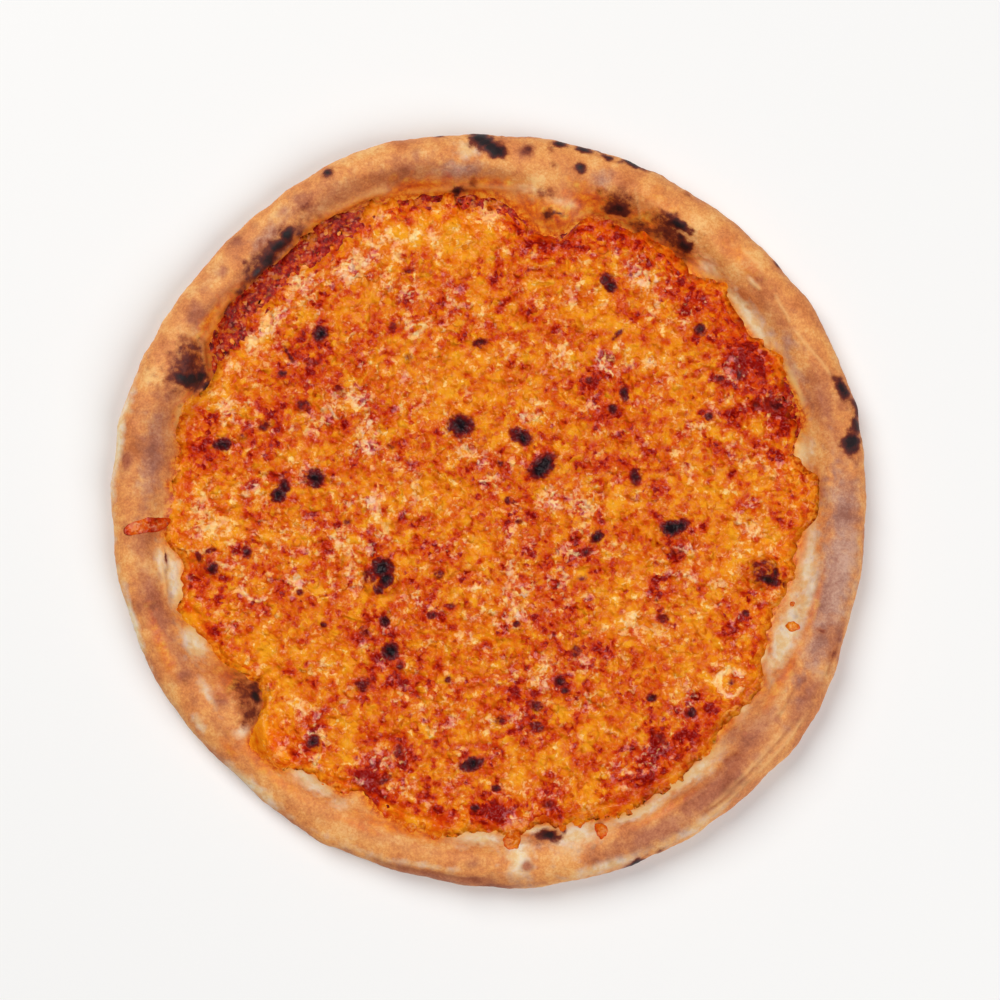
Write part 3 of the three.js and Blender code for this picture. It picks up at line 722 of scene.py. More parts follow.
RED_AREAS = [
    (60, 40, 8, 0.45), (20, -22, 8, 0.3), (18, -40, 8, 0.3), (-40, -60, 8, 0.3),
    (-104, 88, 10, 0.9), (-114, 72, 9, 1.0), (-92, 102, 9, 0.9), (-72, 117, 10, 1.0),
    (-40, 82, 9, 0.6), (-20, 78, 8, 0.5), (20, 80, 9, 0.4), (60, 78, 8, 0.7), (-80, 60, 9, 0.6),
    (-40, 62, 8, 0.4), (-80, 41, 9, 0.6), (-120, 20, 8, 1.2), (60, 26, 9, 0.4), (-80, 0, 8, 0.4),
    (78, -20, 9, 0.9), (-80, -40, 9, 0.6), (-8, 99, 9, 0.8), (4, 100, 7, 0.5), (-60, 58, 8, 0.3),
    (60, 100, 8, 0.4), (100, 60, 8, 0.7), (40, -100, 10, 1.0), (20, -38, 8, 0.5),
    (104, -54, 6, 0.4), (127, 43, 8, 1.2), (128, 34, 6, 1.0), (118, 58, 8, 1.0), (110, 72, 8, 1.0),
    (92, 90, 8, 1.0), (84, 99, 8, 0.9), (72, 110, 8, 1.0), (58, 119, 8, 1.0), (45, 122, 8, 1.2),
    (34, 124, 8, 1.0), (26, 116, 8, 1.4), (-44, 129, 4.5, 1.2), (-30, 132, 4.5, 1.2),
    (-16, 132, 4.5, 1.2), (-9, 132, 5, 1.2), (3, 131, 5, 1.2), (-38, 130, 5, 0.8),
    (10, 127, 5, 1.2), (19, 118, 4.5, 0.8), (-56, 122, 4.5, 0.8), (-48, -122, 8, 1.2),
    (-52, -114, 8, 0.8), (-20, -128, 6, 1.2), (-2, -131, 6, 1.4), (12, -130, 6, 1.2),
    (28, -127, 7, 1.4), (52, -121, 7, 1.2), (66, -112, 8, 1.2), (80, -98, 8, 1.0),
    (94, -88, 8, 1.0), (-106, -72, 7, 0.8), (-128, -22, 7, 1.0), (-112, -52, 7, 0.9),
    (126, -6, 7, 0.7), (-130, 4, 6, 0.6), (-122, 34, 7, 0.7), (-84, 64, 10, 0.9), (-74, 70, 8, 0.7),
    (90, 88, 8, 0.7), (94, 77, 7, 0.7), (107, 60, 8, 0.7), (122, 46, 8, 0.9), (112, 47, 6, 0.6),
    (54, 46, 11, 0.8), (42, 54, 9, 0.7), (62, 14, 10, 0.9), (-45, -28, 11, 0.6),
    (-46, -51, 10, 0.5), (78, -14, 8, 0.5), (120, 22, 8, 0.6), (100, 22, 8, 0.5), (120, 38, 7, 0.5),
    (-42, -66, 9, 0.6), (-40, 42, 8, 0.9), (-42, 26, 9, 0.8), (22, -84, 10, 0.8), (20, -95, 9, 0.7),
    (-44, -116, 11, 1.0), (-38, -98, 8, 0.7), (24, -124, 9, 0.7), (50, -65, 11, 0.7),
    (62, -69, 8, 0.5), (60, -114, 12, 0.7), (72, -100, 10, 0.9), (80, -90, 9, 0.8),
    (74, -45, 8, 1.0), (-22, -42, 9, 0.6), (-20, -28, 9, 0.6), (-94, 38, 10, 0.6),
    (-112, -38, 12, 0.6), (8, 3, 10, 0.7), (6, 70, 10, 0.5), (-34, 102, 8, 0.6),
    (-76, -99, 10, 0.9), (-52, -76, 9, 0.7), (4, -128, 9, 0.8), (-118, -26, 9, 0.6),
    (102, -46, 12, 0.5), (16, -48, 10, 0.4), (-100, 22, 8, 0.4), (96, 40, 10, 0.4),
    (30, 28, 8, 0.3), (38, -62, 8, 0.6), (104, 64, 8, 0.6), (26, 117, 10, 0.8), (60, 118, 8, 0.6),
    (-8, -108, 9, 0.5), (-104, -18, 8, 0.4), (32, -76, 8, 0.5), (46, -14, 9, 0.5),
    (84, -86, 7, 0.5), (-60, 100, 9, 0.5), (-80, 0, 9, 0.35), (-80, -60, 9, 0.4),
    (-42, -60, 9, 0.4), (120, 20, 8, 0.35), (122, 40, 7, 0.3), (20, 60, 8, 0.35),
]
PALE_CURDS = [
    (-48, 128, 5, 0.9), (-56, 105, 6, 0.9), (-45, 112, 7, 0.9), (-37, 115, 5, 0.7),
    (-24, 118, 6, 0.6), (2, 125, 4, 1.0), (-8, 118, 6, 0.7), (-45, 95, 5, 0.9), (-34, 94, 5, 0.8),
    (-62, 100, 5, 0.6), (-82, 98, 7, 0.7), (-94, 77, 5, 1.5), (-102, 71, 4, 1.2), (-88, 86, 4, 1.2),
    (-31, 76, 4, 1.3), (-29, 58, 3, 1.0), (-18, 55, 3, 0.6), (10, 70, 3, 0.9), (33, 64, 3, 1.0),
    (47, 64, 3, 0.8), (52, 55, 4, 0.9), (62, 57, 4, 0.8), (69, 62, 3, 1.1), (66, 97, 4, 1.2),
    (53, 113, 4, 0.8), (40, 110, 5, 0.6), (77, 98, 4, 0.6), (88, 78, 4, 0.8), (-112, 42, 4, 1.2),
    (-98, 54, 4, 0.7), (-59, 42, 6, 0.8), (-54, 32, 6, 0.9), (-76, 22, 6, 0.9), (-83, 17, 5, 0.9),
    (-70, 35, 5, 0.7), (-100, 13, 5, 0.9), (-121, 5, 6, 0.6), (-118, -7, 7, 0.9), (-61, 1, 4, 1.3),
    (-48, 3, 4, 1.2), (-43, 12, 4, 0.7), (-30, 12, 4, 0.8), (-44, -11, 4, 1.0), (-85, -8, 5, 0.8),
    (-95, -17, 5, 0.6), (-61, -15, 5, 0.6), (-50, -20, 4, 0.6), (-8, 23, 4, 0.8), (38, 2.5, 3, 2.0),
    (45, 0, 3, 1.1), (24, 5, 5, 0.7), (55, 11, 4, 0.9), (68, 5, 3, 0.7), (92, 44, 3, 0.9),
    (70, 43, 3, 0.8), (66, 28, 3, 1.0), (104, 6, 3, 0.9), (113, -10, 3, 1.0), (105, -18, 4, 0.8),
    (-26, -24, 4, 0.7), (-22, -37, 3, 1.1), (-35, -40, 4, 0.6), (9, -27, 3, 1.1), (16, -34, 3, 0.9),
    (-4, -36, 6, 0.6), (12, -45, 4, 0.6), (26, -43, 4, 0.9), (45, -20, 5, 0.6), (30, -20, 4, 0.5),
    (-63, -36, 6, 0.7), (-83, -32, 4, 0.9), (-57, -26, 4, 0.6), (-114, -47, 5, 1.0),
    (75, -26, 4, 0.8), (83, -28, 4, 0.7), (98, -32, 3, 0.9), (62, -49, 4, 0.8), (-15, -58, 3, 0.8),
    (25, -70, 5, 0.5), (40, -65, 5, 0.5), (85, -76, 3, 1.0), (-82, -83, 3, 1.0), (-31, -84, 4, 0.4),
    (-65, -105, 4, 0.9), (-72, -112, 4, 0.9), (-33, -117, 5, 0.6), (31, -118, 4, 0.9),
    (50, -113, 4, 0.8), (8, -118, 3, 0.7), (-10, -103, 3, 0.7), (-45, -104, 4, 0.6),
]


def spots(places):
    """A soft bump for every place in a list, added up over the working map."""
    field = np.zeros(map_shape)
    for x, y, radius, strength in places:
        distance = np.hypot(map_x - x, map_y - y) / radius
        field += strength * 0.5 ** (distance ** 2)
    return field


# Large bubbles that set with a pale ring: x, y, radius of the ring, strength.
RING_BUBBLES = [
    (102.5, -74.5, 5.4, 2.6), (0.7, 129, 4.0, 1.4), (104, 61, 2.8, 1.6), (-98, -33.5, 6.0, 1.3),
    (-74, -101, 5.4, 1.0), (52, -54, 4.4, 0.9), (29, -30, 4.0, 0.8), (-28, 40, 3.4, 0.7),
]


def rings(places):
    field = np.zeros(map_shape)
    for x, y, radius, strength in places:
        distance = np.hypot(map_x - x, map_y - y) - radius
        field += strength * 0.5 ** ((distance / 0.9) ** 2)
    return field


zone = spots(RED_AREAS) - spots(GOLDEN_POOLS) + 0.40 * mottle(map_shape, map_cell, 5, 40, 32)
curds = spots(PALE_CURDS) + 0.25 * mottle(map_shape, map_cell, 6, 30, 33) - 0.15
curds += rings(RING_BUBBLES)

# Bubbles that burnt: x, y, size along, size across, turn of the long side, blackness.
BURNT_BUBBLES = [
    (-11.8, 35, 10.5, 9, 0, 1.0), (14.5, 30, 9, 6.5, -15, 0.86), (12, 32.5, 8, 5, 0, 0.5),
    (23, 17.5, 13, 8, 42, 1.0), (21, 15.5, 7, 7, 0, 0.9), (-45, -26, 9, 8.5, 0, 1.0),
    (-43.5, -30.5, 6, 7, 0, 1.0), (-46.5, -34.5, 5, 6, 0, 0.6), (-50, -29, 9, 9, 0, 0.42),
    (-44, -48, 5, 5, 0, 0.8), (-52, -53, 8, 5, 0, 0.42), (-41.5, -61, 7.5, 7, 0, 0.95),
    (-37.5, -67, 4, 6, 0, 0.5), (77.5, -9, 9, 7, 0, 0.95), (82, -7.5, 7, 5, 35, 0.9),
    (79, -19, 10, 3, 0, 0.36), (-72, 74.5, 7, 7, 0, 0.85), (-88, 57.5, 4, 4, 0, 0.6),
    (-85, 65, 12, 2.2, -60, 0.5), (-75, 62, 9, 4, 0, 0.4), (-79, 44, 8, 7, 0, 0.36),
    (-113.5, 27, 7.5, 5.5, 0, 0.9), (-105, 30, 6, 5, 0, 0.3), (-74, 12.5, 8.5, 7.5, 0, 0.95),
    (-89.5, 5.5, 6.5, 7, 0, 0.9), (-87, 9, 5.5, 6, 0, 0.85), (-95, 35, 6.5, 4.5, 40, 0.62),
    (50.5, 98, 6, 6, 0, 0.66), (52.5, 95, 5.5, 5.5, 0, 0.74), (62.5, 13, 5.5, 8.5, 0, 0.68),
    (46, -12.5, 7, 4.5, 40, 0.8), (41.5, -19, 4.5, 4, 0, 0.66), (12, -49.5, 3.4, 3, 0, 0.6),
    (30, -73.5, 5, 5, 0, 0.8), (32.5, -77.5, 4.5, 3, 0, 0.7), (-74, -99, 6.5, 6, 0, 0.74),
    (-7, -108.5, 10, 6, 15, 0.9), (3.5, -118.5, 5, 4, 0, 0.56), (-5.5, -127, 4, 3.5, 0, 0.7),
    (69, -80.5, 5, 4, 0, 0.62), (58, 49, 4.5, 8, 0, 0.72), (53, 42, 5, 5, 0, 0.74),
    (94.5, 39, 4.5, 4, 0, 0.64), (90.5, 76, 5.5, 6, 0, 0.64), (-102.5, -19, 5, 6, 0, 0.6),
    (-117, -26, 5, 6.5, 0, 0.64), (-123, -21, 3, 7, 30, 0.5), (-118, -18.5, 7, 3, 20, 0.44),
    (119, -31, 10, 4, -14, 0.95), (121.5, -28, 4, 5, 0, 0.7), (115, -24, 9, 3, 20, 0.5),
    (-113, 67, 5, 5, 0, 0.5), (98.5, 55, 4.5, 4.5, 0, 0.6), (85.5, -87, 6, 5, 0, 0.6),
    (-3.5, 70.8, 7.5, 4, 10, 0.7), (74, -47, 6, 5, 0, 0.52), (103, -74, 5, 5, 0, 0.3),
    (37, -61, 6, 6, 0, 0.46), (-80, -36, 4, 3.5, 0, 0.45), (-21, -28, 5.5, 5, 0, 0.52),
    (-53, -75, 8, 7, 0, 0.54), (-34, 102, 6, 4, 0, 0.42), (122, 44, 12, 8, 0, 0.5),
    (114, 44, 4, 4, 0, 0.5), (8.5, 3, 4, 5, 0, 0.46), (5, 19, 5, 5, 0, 0.36),
    (-24, -45.5, 5.5, 4, 20, 0.52), (-16, -42, 4.5, 3, 0, 0.46), (-70, -50, 4, 4, 0, 0.46),
    (-64, 51, 5, 5, 0, 0.36), (-41, 78, 4.5, 4, 0, 0.42), (-34, 64, 6, 6, 0, 0.30),
    (-41, 27, 6, 8, 0, 0.32), (20, -84, 8, 5, 0, 0.48), (20, -93, 9, 6, 0, 0.44),
    (5, -90, 6, 6, 0, 0.38), (-44, -115, 12, 5, 20, 0.40), (-38, -103, 5, 7, 0, 0.48),
    (25, -125, 9, 5, 0, 0.38), (73, -98, 10, 4, -45, 0.46), (109, -45, 4, 4, 0, 0.46),
    (43, 54.5, 4, 4, 0, 0.54), (55, 74, 8, 3, 45, 0.46), (107, 57, 4, 8, 0, 0.46),
    (-80, 44, 8, 7, 0, 0.30), (13, -6, 5, 3, 0, 0.36), (-60, -6, 5, 5, 0, 0.30),
    (40, -30, 6, 4, 0, 0.34), (-17, -73, 5, 4, 0, 0.34), (79, -12, 22, 20, 0, 0.18),
    (117, -28, 20, 17, 0, 0.32), (-120, -24, 18, 16, 0, 0.20), (-46, -30, 24, 20, 0, 0.18),
    (0.7, 129, 4, 4, 0, 0.34),
]
BURN_SPREAD = 0.40               # blackness has halved at this share of a bubble's size
burnt = np.zeros(map_shape)
burnt_rise = np.zeros(map_shape)
for x, y, long, wide, turn, black in BURNT_BUBBLES:
    dx, dy = map_x - x, map_y - y
    cos, sin = math.cos(math.radians(turn)), math.sin(math.radians(turn))
    distance = np.hypot((dx * cos + dy * sin) / (BURN_SPREAD * long),
                        (dy * cos - dx * sin) / (BURN_SPREAD * wide))
    burnt = np.maximum(burnt, black * 0.5 ** (distance ** 2))
    dome = np.clip(1.15 - distance ** 2, 0, 1) ** 0.7
    burnt_rise = np.maximum(burnt_rise, 0.13 * min(long, wide) * dome)

# Relief of the sheet in mm: slow swells, the burnt bubbles and a crowd of small domes.
swell = 0.35 * mottle(map_shape, map_cell, 14, 45, 34)
swell += 0.20 * mottle(map_shape, map_cell, 4, 12, 35)
bubble_rise = np.zeros(map_shape)
bubble_fry_and_shade = np.zeros(map_shape)
BUBBLES = 1100                   # domes raised in the sheet itself
FROTH_REACH = 133                # how far out they go
WINDOW = 10                      # side of the piece of map that one of them can touch, mm
for _ in range(BUBBLES):
    turn, out = chance.uniform(0, 2 * math.pi), FROTH_REACH * math.sqrt(chance.uniform())
    x, y, radius = out * math.cos(turn), out * math.sin(turn), chance.uniform(1.6, 3.8)
    stretched, tilt = chance.uniform(0.7, 1.0), chance.uniform(0, math.pi)
    i, j = (int((middle + half_map - WINDOW / 2) / CELL) for middle in (y, x))
    window = slice(i, i + int(WINDOW / CELL)), slice(j, j + int(WINDOW / CELL))
    dx, dy = map_x[window] - x, map_y[window] - y
    long = dx * math.cos(tilt) + dy * math.sin(tilt)
    short = (dy * math.cos(tilt) - dx * math.sin(tilt)) / stretched
    distance = np.hypot(long, short) / radius
    dome = np.clip(1 - distance ** 2, 0, 1) ** 0.6
    bubble_rise[window] = np.maximum(bubble_rise[window], 0.28 * radius * dome)
    # Painted shade on each dome's flanks and a painted highlight on its crown: rim more fried than
    # crown.
    fried = chance.uniform(-0.6, 1.0) * smoothstep(1.1, 0.85, distance)
    bubble_fry_and_shade[window] += fried * (0.55 + 0.45 * smoothstep(0.2, 0.8, distance))
bubble_fry_and_shade = np.clip(bubble_fry_and_shade, -0.8, 1.3)
sheet_relief = swell + bubble_rise + burnt_rise - 0.35


def on_map(field, x, y):
    """A field of the working map at places in mm."""
    row, column = ((place + half_map) / CELL - 0.5 for place in (y, x))
    return between(field, np.clip(row, 0, MAP - 1.001), np.clip(column, 0, MAP - 1.001))


# The plain sheet's own height, measured every few millimetres and rounded off.
COARSE = 3.0
coarse = np.arange(-141.0, 142.0, COARSE)
coarse_x, coarse_y = np.meshgrid(coarse, coarse)
plain = top_heights(cheese_surface, coarse_x, coarse_y)
plain[plain == 0] = plain[plain > 0].mean()
for table in [plain, plain.T] * 2:
    soften(table)

side = np.linspace(-1, 1, SQUARES + 1)
across, along = np.meshgrid(side, side)
wide = np.abs(across) > np.abs(along)
ratio = np.divide(np.where(wide, along, across), np.where(wide, across, along),
                  out=np.zeros_like(across), where=(across != 0) | (along != 0))
out_share = np.where(wide, across, along)
turn = np.where(wide, math.pi / 4 * ratio, math.pi / 2 - math.pi / 4 * ratio)
bearing = np.degrees(np.where(out_share < 0, turn + math.pi, turn)) % 360
out_share = np.abs(out_share)

over_sauce = outline_at(columns, SAUCE_OUTLINE, 0.6) - outline_at(columns, CHEESE_OUTLINE, 0.6)
over_sauce = smoothstep(1, 5, over_sauce)
lobes = np.abs(mottle((8, COLUMNS), (1, 0.75), 5, 16, 41)[0]) - 0.8
rags = mottle((8, COLUMNS), (1, 0.75), 3.5, 9, 42)[0]
edge = outline_at(columns, CHEESE_OUTLINE, 0.55) + lobes * (0.8 + 0.8 * over_sauce)
edge = smooth_around((edge + rags * (0.4 + 0.5 * over_sauce))[None], 0.35)[0]
edge = np.interp(bearing, columns, edge, period=360) + TUCKED
froth_edge = outline_at(bearing, list(zip(bearings, cheese_edge)), 1.5) - 0.5
froth_edge = np.minimum(edge - TUCKED, froth_edge)
radius = out_share * edge
sheet_x, sheet_y = polar(bearing, radius)
bed = dough_top(bearing, radius)
sauce_here = smoothstep(-1.0, 3.0, outline_at(bearing, SAUCE_OUTLINE, 0.8) - radius)
bed += np.maximum(SAUCE_TOP - bed, 0) * sauce_here
foot = dough_top(bearing, froth_edge + 1) + FOOT
inner_x, inner_y = polar(bearing, np.minimum(radius, froth_edge - 6))
plain_height = between(plain, (inner_y - coarse[0]) / COARSE, (inner_x - coarse[0]) / COARSE)
relief = on_map(sheet_relief, sheet_x, sheet_y)
past_froth = radius - froth_edge                  # distance outside the froth's edge
froth_here = smoothstep(1.0, -3.0, past_froth)
film = smoothstep(-2.5, 1.0, past_froth + 0.8 * relief)
sheet_top = plain_height + relief * froth_here
sheet_top += np.minimum(foot - sheet_top, 0) * smoothstep(-SLOPE, 0.0, past_froth)
sheet_top = np.maximum(sheet_top, bed + FILM + 0.3 * froth_here)
sheet_height = bed - HEM_DEPTH
sheet_height += (sheet_top - bed + HEM_DEPTH) * smoothstep(0.0, HEM, edge - radius)
# How much of the hem bakes brown-orange; its colour there is partly painted light.
baked = smoothstep(TUCKED + 2.0, TUCKED - 0.3, edge - radius)

count = SQUARES + 1
grid = np.arange(count * count).reshape(count, count)
sheet_faces = np.stack([grid[:-1, :-1], grid[:-1, 1:], grid[1:, 1:], grid[1:, :-1]], -1)
sheet_faces = sheet_faces.reshape(-1, 4).tolist()
rim_loop = np.concatenate([grid[0, :-1], grid[:-1, -1], grid[-1, :0:-1], grid[:0:-1, 0]])
sheet_points = np.stack([sheet_x, sheet_y, sheet_height], -1).reshape(-1, 3)
inner_loop = sheet_points[rim_loop] * [0.95, 0.95, 0] + [0, 0, SAUCE_TOP + 0.2]
first_inner = len(sheet_points)
bottom = first_inner + len(rim_loop)
for i in range(len(rim_loop)):
    follow = (i + 1) % len(rim_loop)
    sheet_faces.append([rim_loop[i], first_inner + i, first_inner + follow, rim_loop[follow]])
    sheet_faces.append([first_inner + i, bottom, first_inner + follow])
sheet_points = np.vstack([sheet_points, inner_loop, [[0, 0, SAUCE_TOP + 0.2]]])


def over_sheet(field):
    return on_map(field, sheet_points[:, 0], sheet_points[:, 1])


cheese = make_piece("cheese_sheet", sheet_points, sheet_faces, {
    "zone": over_sheet(zone), "curds": over_sheet(curds), "burnt": over_sheet(burnt),
    "heat": over_sheet(bubble_fry_and_shade), "film": np.append(film.ravel(), np.ones(len(rim_loop) + 1)),
    "baked": np.append(baked.ravel(), np.ones(len(rim_loop) + 1))})

# Melted and fried cheese: an oily, translucent fat film over froth. Yellow where it only
# melted, then orange, red and brown as it fried, with cream curds, and a wet shine that
# breaks into small pinkish lights on every bubble. Froth grains are one to three millimetres.
melted_cheese, tree = start_material("fried_four_cheese")
place = add_node(tree, "ShaderNodeTexCoord", {}, output="Object")
field = {name: add_node(tree, "ShaderNodeAttribute", {"attribute_name": name}, output="Fac")
         for name in ("zone", "curds", "burnt", "heat", "film", "baked", "skin")}


def bend_places(size):
    """Places pushed about by noise as far as it is wide, so that patterns run in swirls."""
    push = add_node(tree, "ShaderNodeTexNoise", {}, {
        "Vector": place, "Scale": 1000 / size, "Detail": 3}, "Color")
    return add_node(tree, "ShaderNodeVectorMath", {"operation": "MULTIPLY_ADD"}, [
        push, (size * MM,) * 3, place])


def froth_cells(size):
    """Bubble froth: distance from each bubble's middle (0 to about 1) and its own chances."""
    distance = add_node(tree, "ShaderNodeTexVoronoi", {"feature": "F1"}, {
        "Vector": ruffled, "Scale": 1000 / size, "Randomness": 1.0}, "Distance")
    own = add_node(tree, "ShaderNodeSeparateColor", {}, [distance.node.outputs["Color"]])
    return distance, own, own.node.outputs[1]


def swing(total, parts):
    """A total with several values added to it that swing about 0.5, each after a gain."""
    for value, gain in parts:
        value = add_node(tree, "ShaderNodeMath", {"operation": "SUBTRACT"}, [value, 0.5])
        total = add_up(tree, total, [(value, gain)])
    return total


bent = bend_places(6.0)
ruffled = bend_places(2.4)
froth, froth_own, froth_other = froth_cells(2.6)
blister, blister_own, blister_other = froth_cells(6.0)

# Grain of the cheese: places it is drawn at, width in mm, detail, roughness.
CHEESE_GRAIN = {
    "marbling": (bent, 6.0, 3, 0.6), "cloud": (place, 12, 3, 0.6), "crumb": (ruffled, 1.9, 1, 0.6),
    "ridges": (bent, 4.2, 0, 0.5), "drifts": (place, 13, 2, 0.5), "blobs": (ruffled, 3.2, 2, 0.7),
    "threads": (bent, 4.2, 1, 0.5), "soot": (place, 3.5, 2, 0.6), "beads": (ruffled, 1.9, 0, 0.5)}
grain = {}
for name, (where, size, detail, roughness) in CHEESE_GRAIN.items():
    grain[name] = add_node(tree, "ShaderNodeTexNoise", {}, {
        "Vector": where, "Scale": 1000 / size, "Detail": detail, "Roughness": roughness})

froth_body = add_node(tree, "ShaderNodeMath", {"operation": "MULTIPLY_ADD", "use_clamp": True}, [
    product(tree, froth, froth), -1.3, 1.0])
blister_size = add_up(tree, 0.14, [(blister_own, 0.26)])
blister_share = add_node(tree, "ShaderNodeMath", {"operation": "DIVIDE"}, [blister, blister_size])
blister_in = add_node(tree, "ShaderNodeMapRange", {}, [blister_share, 1.2, 0.7])
# Painted shade: each blister is drawn more fried on its flank, in a ring towards its edge.
blister_shade_ring = product(
    tree, blister_in, add_node(tree, "ShaderNodeMapRange", {}, [blister_share, 0.3, 0.9]))

# Where froth may show: not under the fat film, and less on bubbles and in calm pools.
film = product(tree, field["film"], 0.7)
smooth = add_node(tree, "ShaderNodeMath", {"operation": "MAXIMUM"}, [
    film, product(tree, field["skin"], 0.6)])
calm = add_node(tree, "ShaderNodeMapRange", {}, [field["zone"], -1.0, 0.1, 0.65, 1.0])
open_froth = add_node(tree, "ShaderNodeMath", {"operation": "SUBTRACT", "use_clamp": True}, [
    1.0, smooth])
open_froth = product(tree, open_froth, calm)

# How far each point is fried, from 0 to 1. It holds painted shade too: the crumb and
# ridge grains also lift the bump, and their low places are drawn redder, their tops more golden.
level = swing(add_up(tree, 0.505, [(field["zone"], 0.20)]), [
    (froth_own, product(tree, froth_body, 0.55, open_froth)),
    (grain["marbling"], product(tree, calm, 1.5)),
    (grain["crumb"], product(tree, open_froth, -0.30)),
    (grain["ridges"], product(tree, open_froth, -0.35)),
    (grain["cloud"], 0.5)])
blister_heat = product(tree, add_up(tree, -0.10, [(blister_other, 0.34)]), blister_in)
blister_heat = add_up(tree, blister_heat, [(blister_shade_ring, 0.10)])
level = add_up(tree, level, [(field["heat"], 0.20), (blister_heat, open_froth)])
film_level = swing(add_up(tree, 0.34, [(field["zone"], 0.20)]), [(grain["marbling"], 1.4)])
level = add_node(tree, "ShaderNodeMix", {"data_type": "FLOAT"}, {0: film, 2: level, 3: film_level})
colour = add_node(tree, "ShaderNodeValToRGB", {"stops": [
    (0.05, "F29E1C"), (0.22, "EE8E14"), (0.38, "E6780C"), (0.54, "DC5E08"),
    (0.68, "D24406"), (0.82, "BE2804"), (0.97, "900C04")]}, [level])

# Milk solids that floated out of the fat: soft blobs, and strands between them.
milky = add_node(tree, "ShaderNodeValToRGB", {"stops": [
    (0.05, "FFDC94"), (0.22, "FEC874"), (0.38, "FAB062"), (0.54, "F29A62"),
    (0.68, "E88468"), (0.82, "D86C68"), (0.97, "A84A4C")]}, [level])
milk_here = swing(add_up(tree, -0.42, [(field["curds"], 0.60)]), [(grain["drifts"], 2.0)])
milk = swing(milk_here, [(grain["blobs"], 6.0), (froth_other, product(tree, froth_body, 0.6))])
milk = product(
    tree, add_node(tree, "ShaderNodeMapRange", {}, [milk, 0.0, 0.7]),
    add_up(tree, 1.0, [(film, -0.7)]))
strand = add_node(tree, "ShaderNodeMath", {"operation": "SUBTRACT"}, [grain["threads"], 0.5])
strand = add_node(tree, "ShaderNodeMath", {"operation": "ABSOLUTE"}, [strand])
strand_here = swing(milk_here, [(grain["crumb"], 1.8)])
strand = product(
    tree, add_node(tree, "ShaderNodeMapRange", {}, [strand, 0.11, 0.03]),
    add_node(tree, "ShaderNodeMapRange", {}, [strand_here, -0.15, 0.40, 0.0, 0.90]), open_froth)
creamy = add_node(tree, "ShaderNodeValToRGB", {"stops": [
    (0.2, "FCC474"), (0.6, "FFE0A4"), (0.9, "FCCCA8")]}, [froth_other])

# Pits between the bubbles, where red fat gathered.
pit_here = add_up(tree, froth_own, [(field["zone"], 0.08)])
pit = product(
    tree, add_node(tree, "ShaderNodeMapRange", {}, [froth, 0.32, 0.14]),
    add_node(tree, "ShaderNodeMapRange", {}, [pit_here, 0.86, 0.94]), open_froth, 0.85)

# Thin edges and drops bake brown-orange. On the sheet's sloping hem the colour is also
# painted light, brightened for the light that the slope lacks.
baked_and_lit_share = product(
    tree, field["baked"],
    add_node(tree, "ShaderNodeMapRange", {}, [grain["marbling"], 0.35, 0.60, 0.15, 0.80]),
    add_node(tree, "ShaderNodeMapRange", {}, [field["zone"], 0.4, 1.3, 1.0, 0.15]))
baked_and_lit_tint = add_node(tree, "ShaderNodeValToRGB", {"stops": [
    (0.36, "C04206"), (0.50, "E4720C"), (0.64, "F69A2C")]}, [grain["crumb"]])

# Bubbles that burnt black, red-brown round the foot.
burnt_level = swing(field["burnt"], [(grain["soot"], 0.8), (grain["crumb"], 0.4)])
burnt_level = product(
    tree, burnt_level, add_node(tree, "ShaderNodeMapRange", {}, [field["burnt"], 0.06, 0.25]))
scorch_share = add_node(tree, "ShaderNodeMapRange", {}, [burnt_level, 0.03, 0.36])
scorch = add_node(tree, "ShaderNodeValToRGB", {"stops": [
    (0.08, "B4300C"), (0.28, "8C1C12"), (0.54, "561418"), (0.84, "1A0C12")]}, [burnt_level])
colour = lay_coats(tree, colour, [
    (milk, milky), (strand, creamy), (pit, "860F08"), (baked_and_lit_share, baked_and_lit_tint),
    (scorch_share, scorch)])

dome = add_node(tree, "ShaderNodeMath", {"operation": "SUBTRACT", "use_clamp": True}, [
    1.0, product(tree, blister_share, blister_share)])
dome = add_node(tree, "ShaderNodeMath", {"operation": "SQRT"}, [dome])
froth_height = add_up(tree, product(tree, froth_body, 0.30), [
    (grain["beads"], 0.9), (grain["ridges"], 1.8), (product(tree, dome, blister_size), 1.6)])
cheese_bump = add_node(tree, "ShaderNodeBump", {}, {
    "Strength": 0.8, "Distance": 0.0017, "Height": product(tree, froth_height, open_froth)})
cheese_gloss = add_node(tree, "ShaderNodeMapRange", {}, [burnt_level, 0.3, 0.7, 0.22, 0.32])
cheese_shader = add_node(tree, "ShaderNodeBsdfPrincipled", {}, {
    "Base Color": colour, "Roughness": cheese_gloss, "IOR": 1.46, "Specular IOR Level": 0.17,
    "Normal": cheese_bump})
add_node(tree, "ShaderNodeOutputMaterial", {}, [cheese_shader])
cheese.data.materials.append(melted_cheese)
stand_in(cheese, "cheese", "cheese")

# --------------------------------------------------------------------- Cheese bubbles
# Gas and steam lift the melted cheese into thin domes, one to five millimetres across,
# which fry red-brown. Between them sit pale beads: curd and fat that stayed lighter.

BUBBLE_SINK = -0.0003            # how far each one is pressed into the sheet, in metres
BUBBLE_SOCKETS = {"Surface": "NodeSocketObject", "Seed": "NodeSocketInt"}
for label in ("Spacing", "Crowd", "Smallest", "Largest", "Length", "Flatness", "Unevenness"):
    BUBBLE_SOCKETS[label] = "NodeSocketFloat"


